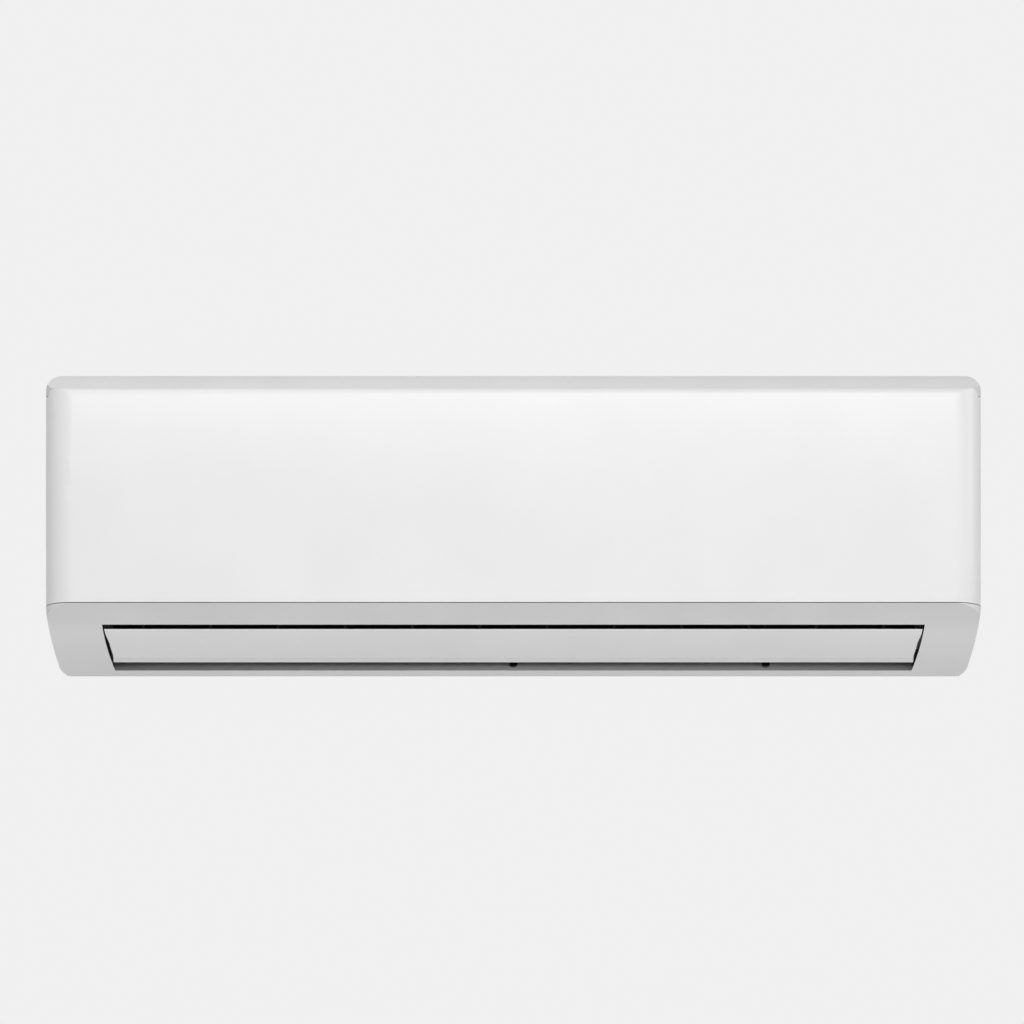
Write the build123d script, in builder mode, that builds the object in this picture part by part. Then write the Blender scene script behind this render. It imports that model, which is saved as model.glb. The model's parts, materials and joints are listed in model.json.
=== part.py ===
from build123d import *
from math import atan2, cos, degrees, hypot, pi, radians, sin, sqrt, tan
import os

os.makedirs("parts", exist_ok=True)

# Mini split indoor unit, millimetres. X to the right seen from the front, +Y into the
# wall, +Z up. The origin is the middle of the wall plate's screw pattern on the wall.
# Heights named _h and the second number of every side-view point are measured from the
# underside of the unit.

# ---------------------------------------------------------------- cabinet
width = 940.0
height = 303.0
depth = 212.0
half_width = width / 2
base_z = -150.0            # underside, below the screw pattern's middle
small_sides = 6            # small pins, screws and their holes are drawn with flats
round_sides = 12           # so are the larger ones
wall = 2.5
fit = 0.3                  # between fixed pieces that only sit beside each other
shut_gap = 0.8             # shut lines round the front panel
plan_corner = 28.0         # upright front corners, seen from above
top_corner = 16.0          # top corners, seen from the front
foot_corner = 13.0         # bottom corners, seen from the front
taper_h = 70.0             # the sides draw in below this height
taper_in = 11.0

# ---------------------------------------------------------------- front panel
panel_radius = 1250.0      # bow of the front, seen from the side
panel_mid_h = 180.0        # height of the foremost point
panel_top_h = height - 12.5
panel_pivot_radius = 8.0   # the top edge is round about the hinge
seam_h = 75.0
seam_tilt = 9.0
return_depth = depth - 44.0       # the panel's side returns end this far from the wall
core_inset = 6.0           # casing behind the panel, below the outer form
lug_x = half_width - 30.0
lug_width = 4.0
ear_x = half_width - 37.0
ear_width = 6.0
panel_pin_radius = 3.0
pin_play = 0.1
panel_opening = 60.0

# ---------------------------------------------------------------- underside of the front
crease = (40.0 - depth, 52.8)    # lower edge of the chin, top of the outlet
cheek_mid = (72.2 - depth, 25.5)
lip = (108.0 - depth, 3.0)
outlet_top_half = half_width - 56.0
outlet_bottom_half = half_width - 68.0
outlet_sill_h = 6.0

# ---------------------------------------------------------------- fan and air path
fan_y = 128.0 - depth
fan_h = 142.0
fan_radius = 48.0
blade_count = 24
disc_count = 3
disc_width = 1.6
shaft_radius = 4.0
duct_half = half_width - 66.0          # inside half width of the outlet duct
fan_wall_right = half_width - 152.0     # inside face of the wall between fan and motor
shelf_h = 90.0             # ceiling of the duct under the motor
duct_wall = 2.5
fan_left = 6.0 - duct_half
fan_right = fan_wall_right - 10.0
floor_rise = 5.0 - lip[0]         # the 45 degree floor of the duct has h = y + floor_rise

# ---------------------------------------------------------------- deflector
flap_top = (46.9 - depth, 47.75)
flap_chord = 57.0
flap_pitch = 36.2          # below the horizontal, degrees
flap_top_gap = 3.8         # between the flap's ends and the outlet's sides
flap_bottom_gap = 1.6
flap_bow = 0.5
flap_top_half = outlet_top_half - flap_top_gap
flap_bottom_half = outlet_bottom_half - flap_bottom_gap
flap_arm = 3.0
flap_arm_end = duct_half - 2.5
flap_thickness = 3.0
flap_bulge = 1.6
flap_pivot_along = 36.0
flap_pivot_in = 8.0
flap_pin_radius = 2.5
flap_opening = 80.0

# ---------------------------------------------------------------- air guide vanes
vane_end = 30.0            # from the last vane's axis to the duct's side
vane_group = 6
vane_pitch = 2 * (duct_half - vane_end) / (2 * vane_group - 1)
bracket_places = (0.0, 3.5 * vane_pitch + 17.0)     # between two vanes
vane_length = 40.0
vane_low = 8.0
vane_high = 50.0
vane_thickness = 2.0
foot_half = 4.0
vane_pin_radius = 2.0
link_pin_radius = 1.5
link_offset = 16.0
link_play = 0.3
vane_y = lip[0] + 32.5             # foot of the vanes' axes on the duct floor
rail_height = 5.0
rail_width = 12.0

# ---------------------------------------------------------------- intake
air_left = -duct_half
air_right = fan_wall_right - 4.0
mullion = 12.0
window_low_h = 97.0
window_high_h = height - 43.0
grille_half = half_width - 55.0
grille_front = 72.0 - depth
grille_rear = -30.0
grille_border = 5.0
slot_columns = 5
slot_rows = 8
slot_rib = 6.0
slot_bar = 4.0
filter_face = depth - 15.5        # front of the filters, from the wall
filter_low_h = 90.0
filter_bend_h = height - 71.0
filter_bend_radius = 45.0
filter_rear = -45.0
filter_sheet = 2.4
filter_columns = 3
mesh_sheet = 0.6

# ---------------------------------------------------------------- heat exchanger
fin_depth = 25.0
tube_radius = 3.5
end_plate = 1.2

# ---------------------------------------------------------------- back and wall plate
chassis_wall = 2.5
pocket_depth = 12.0        # room behind the chassis for the wall plate
plate_sheet = 1.2
plate_left = 40.0 - half_width
plate_right = half_width - 70.0
plate_low_h = 62.5
plate_high_h = height - 28.0
screw_spacing_x = 560.0
screw_spacing_z = 150.0
wall_hole_radius = 3.0

top_z = base_z + height
centre_y = panel_radius - depth
pivot_h = panel_top_h - panel_pivot_radius
pivot_y = centre_y - sqrt((panel_radius - panel_pivot_radius) ** 2 - (pivot_h - panel_mid_h) ** 2)
seam_y = centre_y - sqrt(panel_radius ** 2 - (seam_h - panel_mid_h) ** 2)
front_angle = degrees(atan2(pivot_h - panel_mid_h, centre_y - pivot_y))
trough_radius = panel_pivot_radius + shut_gap

flow = (-sqrt(0.5), -sqrt(0.5))      # down the duct floor, out of the unit
rise = (-sqrt(0.5), sqrt(0.5))       # away from the duct floor
vane_h = vane_y + floor_rise

flap_along = (cos(radians(flap_pitch)), -sin(radians(flap_pitch)))
flap_out = (-sin(radians(flap_pitch)), -cos(radians(flap_pitch)))


def up(h):
    """Height above the underside as a coordinate."""
    return base_z + h


def move(point, *steps):
    """A side-view point moved by (distance, direction) steps."""
    y, h = point
    for distance, direction in steps:
        y += distance * direction[0]
        h += distance * direction[1]
    return (y, h)


flap_pivot = move(flap_top, (flap_pivot_along, flap_along), (-flap_pivot_in, flap_out))


def bent_sheet(points, thickness):
    """The closed outline of a bent sheet, thickened to the left of its line of points."""
    normals = []
    for (ya, ha), (yb, hb) in zip(points, points[1:]):
        run = hypot(yb - ya, hb - ha)
        normals.append(((ha - hb) / run, (yb - ya) / run))
    far = []
    for place, point in enumerate(points):
        before = normals[max(place - 1, 0)]
        after = normals[min(place, len(normals) - 1)]
        mid = (before[0] + after[0], before[1] + after[1])
        reach = 2 * thickness / (mid[0] ** 2 + mid[1] ** 2)
        far.append((point[0] + reach * mid[0], point[1] + reach * mid[1]))
    return list(points) + far[::-1]


def block(x0, x1, y0, y1, h0, h1, mode=Mode.ADD):
    """A block between two corners."""
    with Locations(((x0 + x1) / 2, (y0 + y1) / 2, up((h0 + h1) / 2))):
        Box(x1 - x0, y1 - y0, h1 - h0, mode=mode)


def prism(outline, x0, x1, mode=Mode.ADD):
    """A side-view outline drawn out along the width."""
    with BuildSketch(Plane.YZ.offset(x0)) as face:
        with BuildLine():
            Polyline(*[(y, up(h)) for y, h in outline], close=True)
        make_face()
    extrude(face.sketch, amount=x1 - x0, mode=mode)


def disc(radius, sides, mode=Mode.ADD):
    """A circle, or with sides a polygon: inside the circle, or round it for a hole."""
    if sides:
        RegularPolygon(radius, sides, major_radius=mode != Mode.SUBTRACT)
    else:
        Circle(radius)


def rod(radius, x0, x1, point, mode=Mode.ADD, sides=0):
    """A bar along the width at a side-view point."""
    with BuildSketch(Plane.YZ.offset(x0)) as face:
        with Locations((point[0], up(point[1]))):
            disc(radius, sides, mode)
    extrude(face.sketch, amount=x1 - x0, mode=mode)


def post(radius, x, y, h0, h1, mode=Mode.ADD, sides=0):
    """An upright bar."""
    with BuildSketch(Plane.XY.offset(up(h0))) as face:
        with Locations((x, y)):
            disc(radius, sides, mode)
    extrude(face.sketch, amount=h1 - h0, mode=mode)


def stub(radius, x, h, y0, y1, mode=Mode.ADD, sides=0):
    """A bar along Y from y0 to y1."""
    with BuildSketch(Plane.XZ.offset(-y0)) as face:
        with Locations((x, up(h))):
            disc(radius, sides, mode)
    extrude(face.sketch, amount=y0 - y1, mode=mode)


def floor_peg(radius, x, along, z0, z1, mode=Mode.ADD):
    """A small bar square to the duct floor, at a distance down the flow from the vanes."""
    with BuildSketch(on_floor(x).offset(z0)) as face:
        with Locations((along, 0)):
            disc(radius, small_sides, mode)
    extrude(face.sketch, amount=z1 - z0, mode=mode)


def on_floor(x):
    """The floor plane at a vane: x down the flow, z away from the floor."""
    return Plane((x, vane_y, up(vane_h)), x_dir=(0, *flow), z_dir=(0, *rise))


def tube_run(points, radius, cut, sides):
    """A tube along points given as (x, y, h), its bends cut across their corners."""
    places = [Vector(x, y, up(h)) for x, y, h in points]
    path = [places[0]]
    for before, corner, after in zip(places, places[1:], places[2:]):
        path += [corner + (before - corner).normalized() * cut,
                 corner + (after - corner).normalized() * cut]
    path.append(places[-1])
    with BuildLine() as run:
        Polyline(*path)
    with BuildSketch(Plane(origin=path[0], z_dir=path[1] - path[0])) as face:
        disc(radius, sides)
    sweep(face.sketch, path=run.line, transition=Transition.RIGHT)


def front_block(inset):
    """The bowed front, taller than the unit. Its upright corners are round outside, and
    inside they follow the round in three chords."""
    half = half_width - inset
    front = inset - panel_radius
    corner = plan_corner - inset
    bends = [(half - corner + corner * sin(radians(turn)), front + corner - corner * cos(radians(turn)))
             for turn in (0, 30, 60, 90)]
    low = radians(13)
    with BuildPart() as form:
        with BuildSketch(Plane((0, centre_y, up(panel_mid_h)), x_dir=(1, 0, 0),
                               z_dir=(0, -sin(low), cos(low)))) as plan:
            with BuildLine():
                Line((0, front), bends[0])
                if inset:
                    Polyline(*bends)
                else:
                    CenterArc((half - corner, front + corner), corner, -90, 90)
                Polyline(bends[-1], (half, 60 - centre_y), (0, 60 - centre_y))
                mirror(about=Plane.YZ)
            make_face()
        revolve(plan.sketch, axis=Axis((0, centre_y, up(panel_mid_h)), (-1, 0, 0)),
                revolution_arc=24)
    return form.part


def cabinet_form(inset):
    """The whole outer form, drawn in by an inset and open towards the wall."""
    round_y = pivot_y - panel_pivot_radius * cos(radians(front_angle))
    round_z = up(pivot_h) + panel_pivot_radius * sin(radians(front_angle))
    with BuildPart() as form:
        add(front_block(inset))
        with BuildSketch(Plane.YZ.offset(-half_width)):
            with BuildLine():
                Line((30, base_z), (30, top_z))
                Line((30, top_z), (-150, top_z))
                TangentArc((-150, top_z), (pivot_y + 4, up(panel_top_h)), tangent=(-1, 0))
                Line((pivot_y + 4, up(panel_top_h)), (pivot_y, up(panel_top_h)))
                CenterArc((pivot_y, up(pivot_h)), panel_pivot_radius, 90, 90 - front_angle)
                Polyline((round_y, round_z), (round_y - 20, round_z), (round_y - 20, up(seam_h)),
                         (seam_y, up(seam_h)), (crease[0], up(crease[1])))
                ThreePointArc((crease[0], up(crease[1])), (cheek_mid[0], up(cheek_mid[1])),
                              (lip[0], up(lip[1])))
                ThreePointArc((lip[0], up(lip[1])), (lip[0] + 4.5, base_z + 0.8),
                              (lip[0] + 10, base_z))
                Line((lip[0] + 10, base_z), (30, base_z))
            make_face()
            if inset:
                offset(amount=-inset)
        extrude(amount=width, mode=Mode.INTERSECT)
        with BuildSketch(Plane.XZ.offset(-60)):
            foot = (half_width - taper_in, base_z + foot_corner)
            with BuildLine():
                Line((0, top_z), (half_width - top_corner, top_z))
                CenterArc((half_width - top_corner, top_z - top_corner), top_corner, 0, 90)
                Line((half_width, top_z - top_corner), (half_width, up(taper_h)))
                ThreePointArc((half_width, up(taper_h)),
                              (half_width - 0.35 * taper_in, up((taper_h + foot_corner) / 2)), foot)
                ThreePointArc(foot, (foot[0] - 0.32 * foot_corner, base_z + 0.32 * foot_corner),
                              (foot[0] - foot_corner, base_z))
                Line((foot[0] - foot_corner, base_z), (0, base_z))
                mirror(about=Plane.YZ)
            make_face()
            if inset:
                offset(amount=-inset)
        extrude(amount=depth + 120, mode=Mode.INTERSECT)
    return form.part


def seam(y):
    """Height of the shut line between panel and chin, falling towards the wall."""
    return seam_h - (y - seam_y) * tan(radians(seam_tilt))


def panel_zone(grow):
    """The part of the front that belongs to the panel, grown or shrunk all round."""
    rear = grow - return_depth
    with BuildPart() as zone:
        prism([(-260, seam(-260) - grow), (rear, seam(rear) - grow), (rear, pivot_h + grow),
               (pivot_y, pivot_h + grow), (pivot_y, height + 20), (-260, height + 20)],
              -half_width - 10, half_width + 10)
    return zone.part


def outlet_form(top_half, bottom_half, top_h, bottom_h, bow):
    """A prism along Y with the outlet's outline seen from the front, its sides bowed out."""
    with BuildPart() as form:
        with BuildSketch(Plane.XZ.offset(-10)):
            with BuildLine():
                Line((0, up(top_h)), (top_half, up(top_h)))
                ThreePointArc((top_half, up(top_h)),
                              ((top_half + bottom_half) / 2 + bow, up((top_h + bottom_h) / 2)),
                              (bottom_half, up(bottom_h)))
                Line((bottom_half, up(bottom_h)), (0, up(bottom_h)))
                mirror(about=Plane.YZ)
            make_face()
        extrude(amount=depth + 20)
    return form.part


# ================================================================ casing
mullion_x = (air_left + air_right) / 2
windows = (
    (air_left, mullion_x - mullion / 2, window_low_h, window_high_h),
    (mullion_x + mullion / 2, air_right, window_low_h, window_high_h),
    (half_width - 132, half_width - 22, 140.0, height - 48),
    (half_width - 95, half_width - 38, 102.0, 126.0),
)
button_x = half_width - 108.0
button_h = 114.0
button_radius = 4.0
button_travel = 1.0
board_face = 13.0 - depth        # front of the display board
board_left = half_width - 129.0
board_right = half_width - 26.0
foot_screws = (140.0 - half_width, 0.0, half_width - 140.0)
foot_screw_y = lip[0] + 24.0
cap_length = 18.0
cap_width = 11.0
strip_front = lip[0] + 46.0        # the casing's floor ends here, the chassis' begins

with BuildPart() as recess:
    add(panel_zone(0))
    add(cabinet_form(core_inset), mode=Mode.SUBTRACT)

with BuildPart() as recess_wall:
    add(panel_zone(wall))
    add(cabinet_form(core_inset + wall), mode=Mode.SUBTRACT)

with BuildPart() as hollow:
    add(cabinet_form(wall))
    add(recess_wall.part, mode=Mode.SUBTRACT)
    rod(trough_radius + wall, -half_width, half_width, (pivot_y, pivot_h), mode=Mode.SUBTRACT)

with BuildPart() as front_frame:
    add(cabinet_form(0))
    add(recess.part, mode=Mode.SUBTRACT)
    rod(trough_radius, -half_width, half_width, (pivot_y, pivot_h), mode=Mode.SUBTRACT)
    add(hollow.part, mode=Mode.SUBTRACT)
    block(-half_width, half_width, -1, 60, -10, height + 10, mode=Mode.SUBTRACT)
    for x in (air_left - 4, mullion_x, air_right + 4):
        block(x - 5, x + 5, 9 - depth, -filter_face - fit, filter_low_h - 2, window_high_h)
    block(air_left - 9, air_right + 9, 9 - depth, 20 - depth, filter_low_h - 3, filter_low_h - fit)
    for x0, x1, low, high in windows:
        block(x0, x1, -8 - depth, 32 - depth, low, high, mode=Mode.SUBTRACT)
    block(-grille_half, grille_half, grille_front, grille_rear, height - 10, height + 5,
          mode=Mode.SUBTRACT)
    add(outlet_form(outlet_top_half, outlet_bottom_half, crease[1], outlet_sill_h, 1.5),
        mode=Mode.SUBTRACT)
    block(18 - half_width, half_width - 18, strip_front, 10, -5, 6, mode=Mode.SUBTRACT)
    for side in (-1, 1):
        x0 = side * ear_x - ear_width / 2
        rod(5.0, x0, x0 + ear_width, (pivot_y, pivot_h), sides=small_sides)
        prism([(pivot_y - 4.5, pivot_h), (pivot_y - 3, pivot_h - trough_radius - 1),
               (pivot_y + 8, pivot_h - trough_radius), (pivot_y + 5, pivot_h)], x0, x0 + ear_width)
        rod(panel_pin_radius + pin_play, x0 - 1, x0 + ear_width + 1, (pivot_y, pivot_h),
            mode=Mode.SUBTRACT, sides=round_sides)
    stub(button_radius + fit, button_x, button_h, 32 - depth, -3 - depth, mode=Mode.SUBTRACT,
         sides=round_sides)
    for x in (board_left + 5, board_right - 4):
        stub(2.0, x, button_h, board_face, 9 - depth, sides=small_sides)
    for x in foot_screws:
        block(x - 12, x + 12, foot_screw_y - 8, foot_screw_y + 8, 0, 8)
        block(x - cap_length / 2, x + cap_length / 2, foot_screw_y - cap_width / 2,
              foot_screw_y + cap_width / 2, -1, 1.6, mode=Mode.SUBTRACT)
        post(4.4, x, foot_screw_y, -1, 5, mode=Mode.SUBTRACT, sides=small_sides)
        post(2.2, x, foot_screw_y, -1, 10, mode=Mode.SUBTRACT, sides=small_sides)
    for side in (-1, 1):
        for y0, y1, h0, h1 in ((-50, -49, 14, 56), (-50, -1, 56, 57)):
            x0 = side * half_width
            block(x0 - 0.8, x0 + 0.8, y0, y1, h0 + 60, h1 + 60, mode=Mode.SUBTRACT)
front_frame.part.label = "front_frame"

# ================================================================ front panel
hinge = (pivot_y, pivot_h)
roll_end = 55.0            # the rolled top edge ends this far above the horizontal, behind
roll_plug = 18.0           # length of the roll's closed ends

with BuildPart() as top_roll:
    rod(panel_pivot_radius, -half_width, half_width, hinge)
    rod(panel_pivot_radius - wall, -half_width, half_width, hinge, mode=Mode.SUBTRACT)
    prism([hinge, move(hinge, (20, (cos(radians(roll_end)), sin(radians(roll_end))))),
           (pivot_y, pivot_h + 20), (pivot_y - 20, pivot_h + 20), (pivot_y - 20, pivot_h)],
          -half_width, half_width, mode=Mode.INTERSECT)
    for x0 in (-half_width, half_width - roll_plug):
        rod(panel_pivot_radius, x0, x0 + roll_plug, hinge)
    add(cabinet_form(0), mode=Mode.INTERSECT)

with BuildPart() as front_panel:
    add(cabinet_form(0))
    add(front_block(wall), mode=Mode.SUBTRACT)
    add(panel_zone(-shut_gap), mode=Mode.INTERSECT)
    add(top_roll.part)
    for side in (-1, 1):
        x0 = side * lug_x - lug_width / 2
        rod(5.0, x0, x0 + lug_width, hinge, sides=small_sides)
        prism([(pivot_y - 6.5, pivot_h - 4), (pivot_y, pivot_h - 4), (pivot_y, pivot_h + 6),
               (pivot_y - 4.5, pivot_h + 4.5)], x0, x0 + lug_width)
        inner = side * (ear_x - ear_width / 2 - 1)
        rod(panel_pin_radius, min(inner, side * lug_x), max(inner, side * lug_x), hinge,
            sides=round_sides)
    for h in (120.0, 240.0):
        stiffener = panel_radius - wall
        rib_y = centre_y - sqrt(stiffener ** 2 - (h - panel_mid_h) ** 2)
        block(air_left + 4, air_right + 6, rib_y - 0.5, rib_y + 1.6, h - 1, h + 1)
front_panel.part.label = "front_panel"

# ================================================================ top grille
with BuildPart() as top_grille:
    block(-grille_half + fit, grille_half - fit, grille_front + fit, grille_rear - fit,
          height - wall, height - fit)
    block(-grille_half - 4, grille_half + 4, grille_front - 4, grille_rear + 4,
          height - wall - 2.2, height - wall)
    step_x = (2 * (grille_half - grille_border) + slot_rib) / slot_columns
    step_y = (grille_rear - grille_front - 2 * grille_border + slot_bar) / slot_rows
    with BuildSketch(Plane.XY.offset(top_z - 8)):
        with Locations((0, (grille_front + grille_rear) / 2)):
            with GridLocations(step_x, step_y, slot_columns, slot_rows):
                Rectangle(step_x - slot_rib, step_y - slot_bar)
    extrude(amount=12, mode=Mode.SUBTRACT)
top_grille.part.label = "top_grille"

# ================================================================ outlet duct
lip_screw_along = 37.5     # down the flow from the vanes' axes
scroll_points = [(fan_y + y, fan_h + h) for y, h in
                 ((50.5, 32.0), (52.2, 18.0), (53.0, 0.0), (51.7, -30.0), (48.0, -49.5),
                  (42.0, -68.0), (33.0, -82.5))]
scroll_points += [(y, y + floor_rise) for y in (lip[0] + 42.0, lip[0] + 2.5)]
tongue_points = [(46.0 - depth, 60.0), (70.0 - depth, 88.0), (79.0 - depth, 99.0),
                 (84.0 - depth, 112.0)]
shelf_top = shelf_h + duct_wall
duct_outer = duct_half + duct_wall
flange_half = outlet_top_half + 3.0    # the duct's rims close the gaps beside the flap

with BuildPart() as air_duct:
    prism(bent_sheet(scroll_points, duct_wall), -duct_outer, duct_outer)
    prism(bent_sheet(tongue_points, duct_wall), -duct_outer, duct_outer)
    for x0 in (-duct_outer, duct_half):
        prism([scroll_points[-1], move(flap_top, (52, flap_along), (-14, flap_out)),
               move(flap_top, (2, flap_along), (-14, flap_out)), (47.5 - depth, 62.5),
               (70.0 - depth, 88.5), (73.5 - depth, shelf_top), *scroll_points[4:8]],
              x0, x0 + duct_wall)
        rod(4.4, x0, x0 + duct_wall, flap_pivot, sides=small_sides)
        prism([move(flap_pivot, (-4.4, flap_along)), move(flap_pivot, (4.4, flap_along)),
               move(flap_pivot, (4.4, flap_along), (-9, flap_out)),
               move(flap_pivot, (-4.4, flap_along), (-9, flap_out))], x0, x0 + duct_wall)
        rod(flap_pin_radius + pin_play, x0 - 1, x0 + duct_wall + 1, flap_pivot,
            mode=Mode.SUBTRACT, sides=round_sides)
    for x0, x1, low_end in ((-flange_half, -duct_half, 34), (duct_half, flange_half, 14)):
        prism([move(flap_top, (1, flap_along), (-14, flap_out)),
               move(flap_top, (low_end, flap_along), (-14, flap_out)),
               move(flap_top, (low_end, flap_along), (-14 - duct_wall, flap_out)),
               move(flap_top, (1, flap_along), (-14 - duct_wall, flap_out))], x0, x1)
    block(fan_wall_right, duct_outer, fan_y - 57.5, fan_y + 48.8, shelf_h, shelf_top)
    block(-duct_outer - 1, fit - duct_half, fan_y - 76, fan_y + 64, shelf_top, 200, mode=Mode.SUBTRACT)
    block(fan_wall_right - fit, duct_outer + 1, fan_y - 76, fan_y + 64, shelf_top, 200,
          mode=Mode.SUBTRACT)
    for x in foot_screws:
        low = foot_screw_y + floor_rise - duct_wall * sqrt(2)
        prism([(foot_screw_y - 5, 8.4), (foot_screw_y + 5, 8.4), (foot_screw_y + 5, low + 6),
               (foot_screw_y - 5, low - 4)], x - 5, x + 5)
        post(2.0, x, foot_screw_y, 8, 17, mode=Mode.SUBTRACT, sides=small_sides)
    for x in bracket_places:
        floor_peg(2.1, x, lip_screw_along, -5, 1, mode=Mode.SUBTRACT)
air_duct.part.label = "air_duct"

with BuildPart() as lip_screws:
    for x in bracket_places:
        floor_peg(4.0, x, lip_screw_along, 0, 2)
        floor_peg(2.0, x, lip_screw_along, -4, 0)
lip_screws.part.label = "lip_screws"

with BuildPart() as flap_brackets:
    for x in bracket_places:
        rod(5.0, x - 2, x + 2, flap_pivot, sides=small_sides)
        prism([(flap_pivot[0] - 5, flap_pivot[1]), (flap_pivot[0] + 5, flap_pivot[1]),
               (-146.0, 88.0 - 4 * 28 / 24), (-158.0, 88.0 - 16 * 28 / 24)], x - 2, x + 2)
        rod(2.0 + pin_play, x - 3, x + 3, flap_pivot, mode=Mode.SUBTRACT, sides=small_sides)
flap_brackets.part.label = "flap_brackets"

# ================================================================ deflector flap
with BuildPart() as flap:
    with BuildSketch(Plane.YZ.offset(-flap_top_half - 2)):
        with BuildLine():
            outer = [move(flap_top, (a, flap_along), (b, flap_out)) for a, b in
                     ((0, 0), (flap_chord / 2, flap_bulge), (flap_chord, 0))]
            inner = [move(flap_top, (a, flap_along), (b, flap_out)) for a, b in
                     ((0.6, -flap_thickness), (flap_chord / 2, flap_bulge - flap_thickness),
                      (flap_chord - 0.6, -flap_thickness))]
            ThreePointArc(*[(y, up(h)) for y, h in outer])
            Line((outer[2][0], up(outer[2][1])), (inner[2][0], up(inner[2][1])))
            ThreePointArc(*[(y, up(h)) for y, h in inner])
            Line((outer[0][0], up(outer[0][1])), (inner[0][0], up(inner[0][1])))
        make_face()
    extrude(amount=2 * flap_top_half + 4)
    add(outlet_form(flap_top_half, flap_bottom_half, flap_top[1] + 3,
                    flap_top[1] + flap_chord * flap_along[1] - 3, flap_bow), mode=Mode.INTERSECT)
    for along in (48.7, 52.1):
        prism([move(flap_top, (along - 0.5, flap_along), (3, flap_out)),
               move(flap_top, (along + 0.5, flap_along), (3, flap_out)),
               move(flap_top, (along + 0.3, flap_along), (-0.5, flap_out)),
               move(flap_top, (along - 0.3, flap_along), (-0.5, flap_out))],
              -flap_top_half - 2, flap_top_half + 2, mode=Mode.SUBTRACT)
    arms = [(-flap_arm_end, flap_arm - flap_arm_end), (flap_arm_end - flap_arm, flap_arm_end)]
    for x in bracket_places:
        arms += [(x - 3 - flap_arm, x - 3), (x + 3, x + 3 + flap_arm)]
    for x0, x1 in arms:
        rod(4.2, x0, x1, flap_pivot, sides=small_sides)
        prism([move(flap_top, (flap_pivot_along - 8, flap_along)),
               move(flap_top, (flap_pivot_along + 8, flap_along)),
               move(flap_pivot, (4, flap_along)), move(flap_pivot, (-4, flap_along))], x0, x1)
    rod(flap_pin_radius, -duct_outer - 0.5, 0.5 - flap_arm_end, flap_pivot)
    rod(flap_pin_radius, flap_arm_end - 0.5, duct_outer + 5.5, flap_pivot)
    for x in bracket_places:
        rod(2.0, x - 5, x + 5, flap_pivot, sides=small_sides)
flap.part.label = "flap"

motor_centre = move(flap_pivot, (-8, flap_out))
with BuildPart() as flap_motor:
    rod(12.0, duct_outer + fit, duct_outer + 18.5, motor_centre, sides=round_sides)
    prism([move(motor_centre, (-19, flap_along), (3.5, flap_out)),
           move(motor_centre, (19, flap_along), (3.5, flap_out)),
           move(motor_centre, (19, flap_along), (-3.5, flap_out)),
           move(motor_centre, (-19, flap_along), (-3.5, flap_out))], duct_outer + fit, duct_outer + 1.5)
    prism([move(motor_centre, (-7, flap_along), (-9, flap_out)),
           move(motor_centre, (7, flap_along), (-9, flap_out)),
           move(motor_centre, (7, flap_along), (-15, flap_out)),
           move(motor_centre, (-7, flap_along), (-15, flap_out))], duct_outer + 3.5, duct_outer + 16.5)
    rod(flap_pin_radius + pin_play, duct_outer, duct_outer + 6.5, flap_pivot, mode=Mode.SUBTRACT,
        sides=small_sides)
flap_motor.part.label = "flap_motor"

# ================================================================ air guide vanes
vane_places = [(2 * n + 1 - 2 * vane_group) * vane_pitch / 2 for n in range(2 * vane_group)]


def vane(x, label):
    """One upright vane with its foot, its pivot pin and its link pin."""
    foot_low = rail_height + fit
    with BuildPart() as blade:
        with BuildSketch(Plane.XZ.offset(-vane_thickness / 2)) as face:
            with BuildLine():
                Polyline((-vane_length / 2, vane_low), (-foot_half, vane_low), (-foot_half, foot_low),
                         (foot_half, foot_low), (foot_half, vane_low), (vane_length / 2, vane_low),
                         (vane_length / 2, vane_high), (6 - vane_length / 2, vane_high),
                         (-vane_length / 2, vane_high - 10), close=True)
            make_face()
        extrude(face.sketch, amount=vane_thickness)
        for radius, along, low, high in ((vane_pin_radius, 0, 1, foot_low),
                                         (link_pin_radius, -link_offset, 2.8, vane_low)):
            with BuildSketch(Plane.XY.offset(low)) as pin:
                with Locations((along, 0)):
                    disc(radius, small_sides)
            extrude(pin.sketch, amount=high - low)
    placed = on_floor(x) * blade.part
    placed.label = label
    return placed


def vane_rail(places, label):
    """The strip on the duct floor that holds one group's pivot pins."""
    foot = (vane_y, vane_h)
    with BuildPart() as rail:
        prism([move(foot, (-rail_width / 2, flow)), move(foot, (rail_width / 2, flow)),
               move(foot, (rail_width / 2, flow), (rail_height, rise)),
               move(foot, (-rail_width / 2, flow), (rail_height, rise))],
              places[0] - 15, places[-1] + 15)
        for x in places:
            floor_peg(vane_pin_radius + pin_play, x, 0, 0, rail_height + 1, mode=Mode.SUBTRACT)
    rail.part.label = label
    return rail.part


def link_bar(places, label):
    """The bar that ties one group's link pins together."""
    row = move((vane_y, vane_h), (-link_offset, flow), (3.5, rise))
    with BuildPart() as bar:
        prism([move(row, (-3.2, flow)), move(row, (3.2, flow)), move(row, (3.2, flow), (2.5, rise)),
               move(row, (-3.2, flow), (2.5, rise))], places[0] - 7, places[-1] + 7)
        for x in places:
            floor_peg(link_pin_radius + link_play, x, -link_offset, 2, 8, mode=Mode.SUBTRACT)
    bar.part.label = label
    return bar.part


vanes = [vane(x, f"vane_{n + 1:02d}") for n, x in enumerate(vane_places)]
rails = [vane_rail(vane_places[:vane_group], "vane_rail_left"),
         vane_rail(vane_places[vane_group:], "vane_rail_right")]
bars = [link_bar(vane_places[:vane_group], "link_bar_left"),
        link_bar(vane_places[vane_group:], "link_bar_right")]

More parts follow.
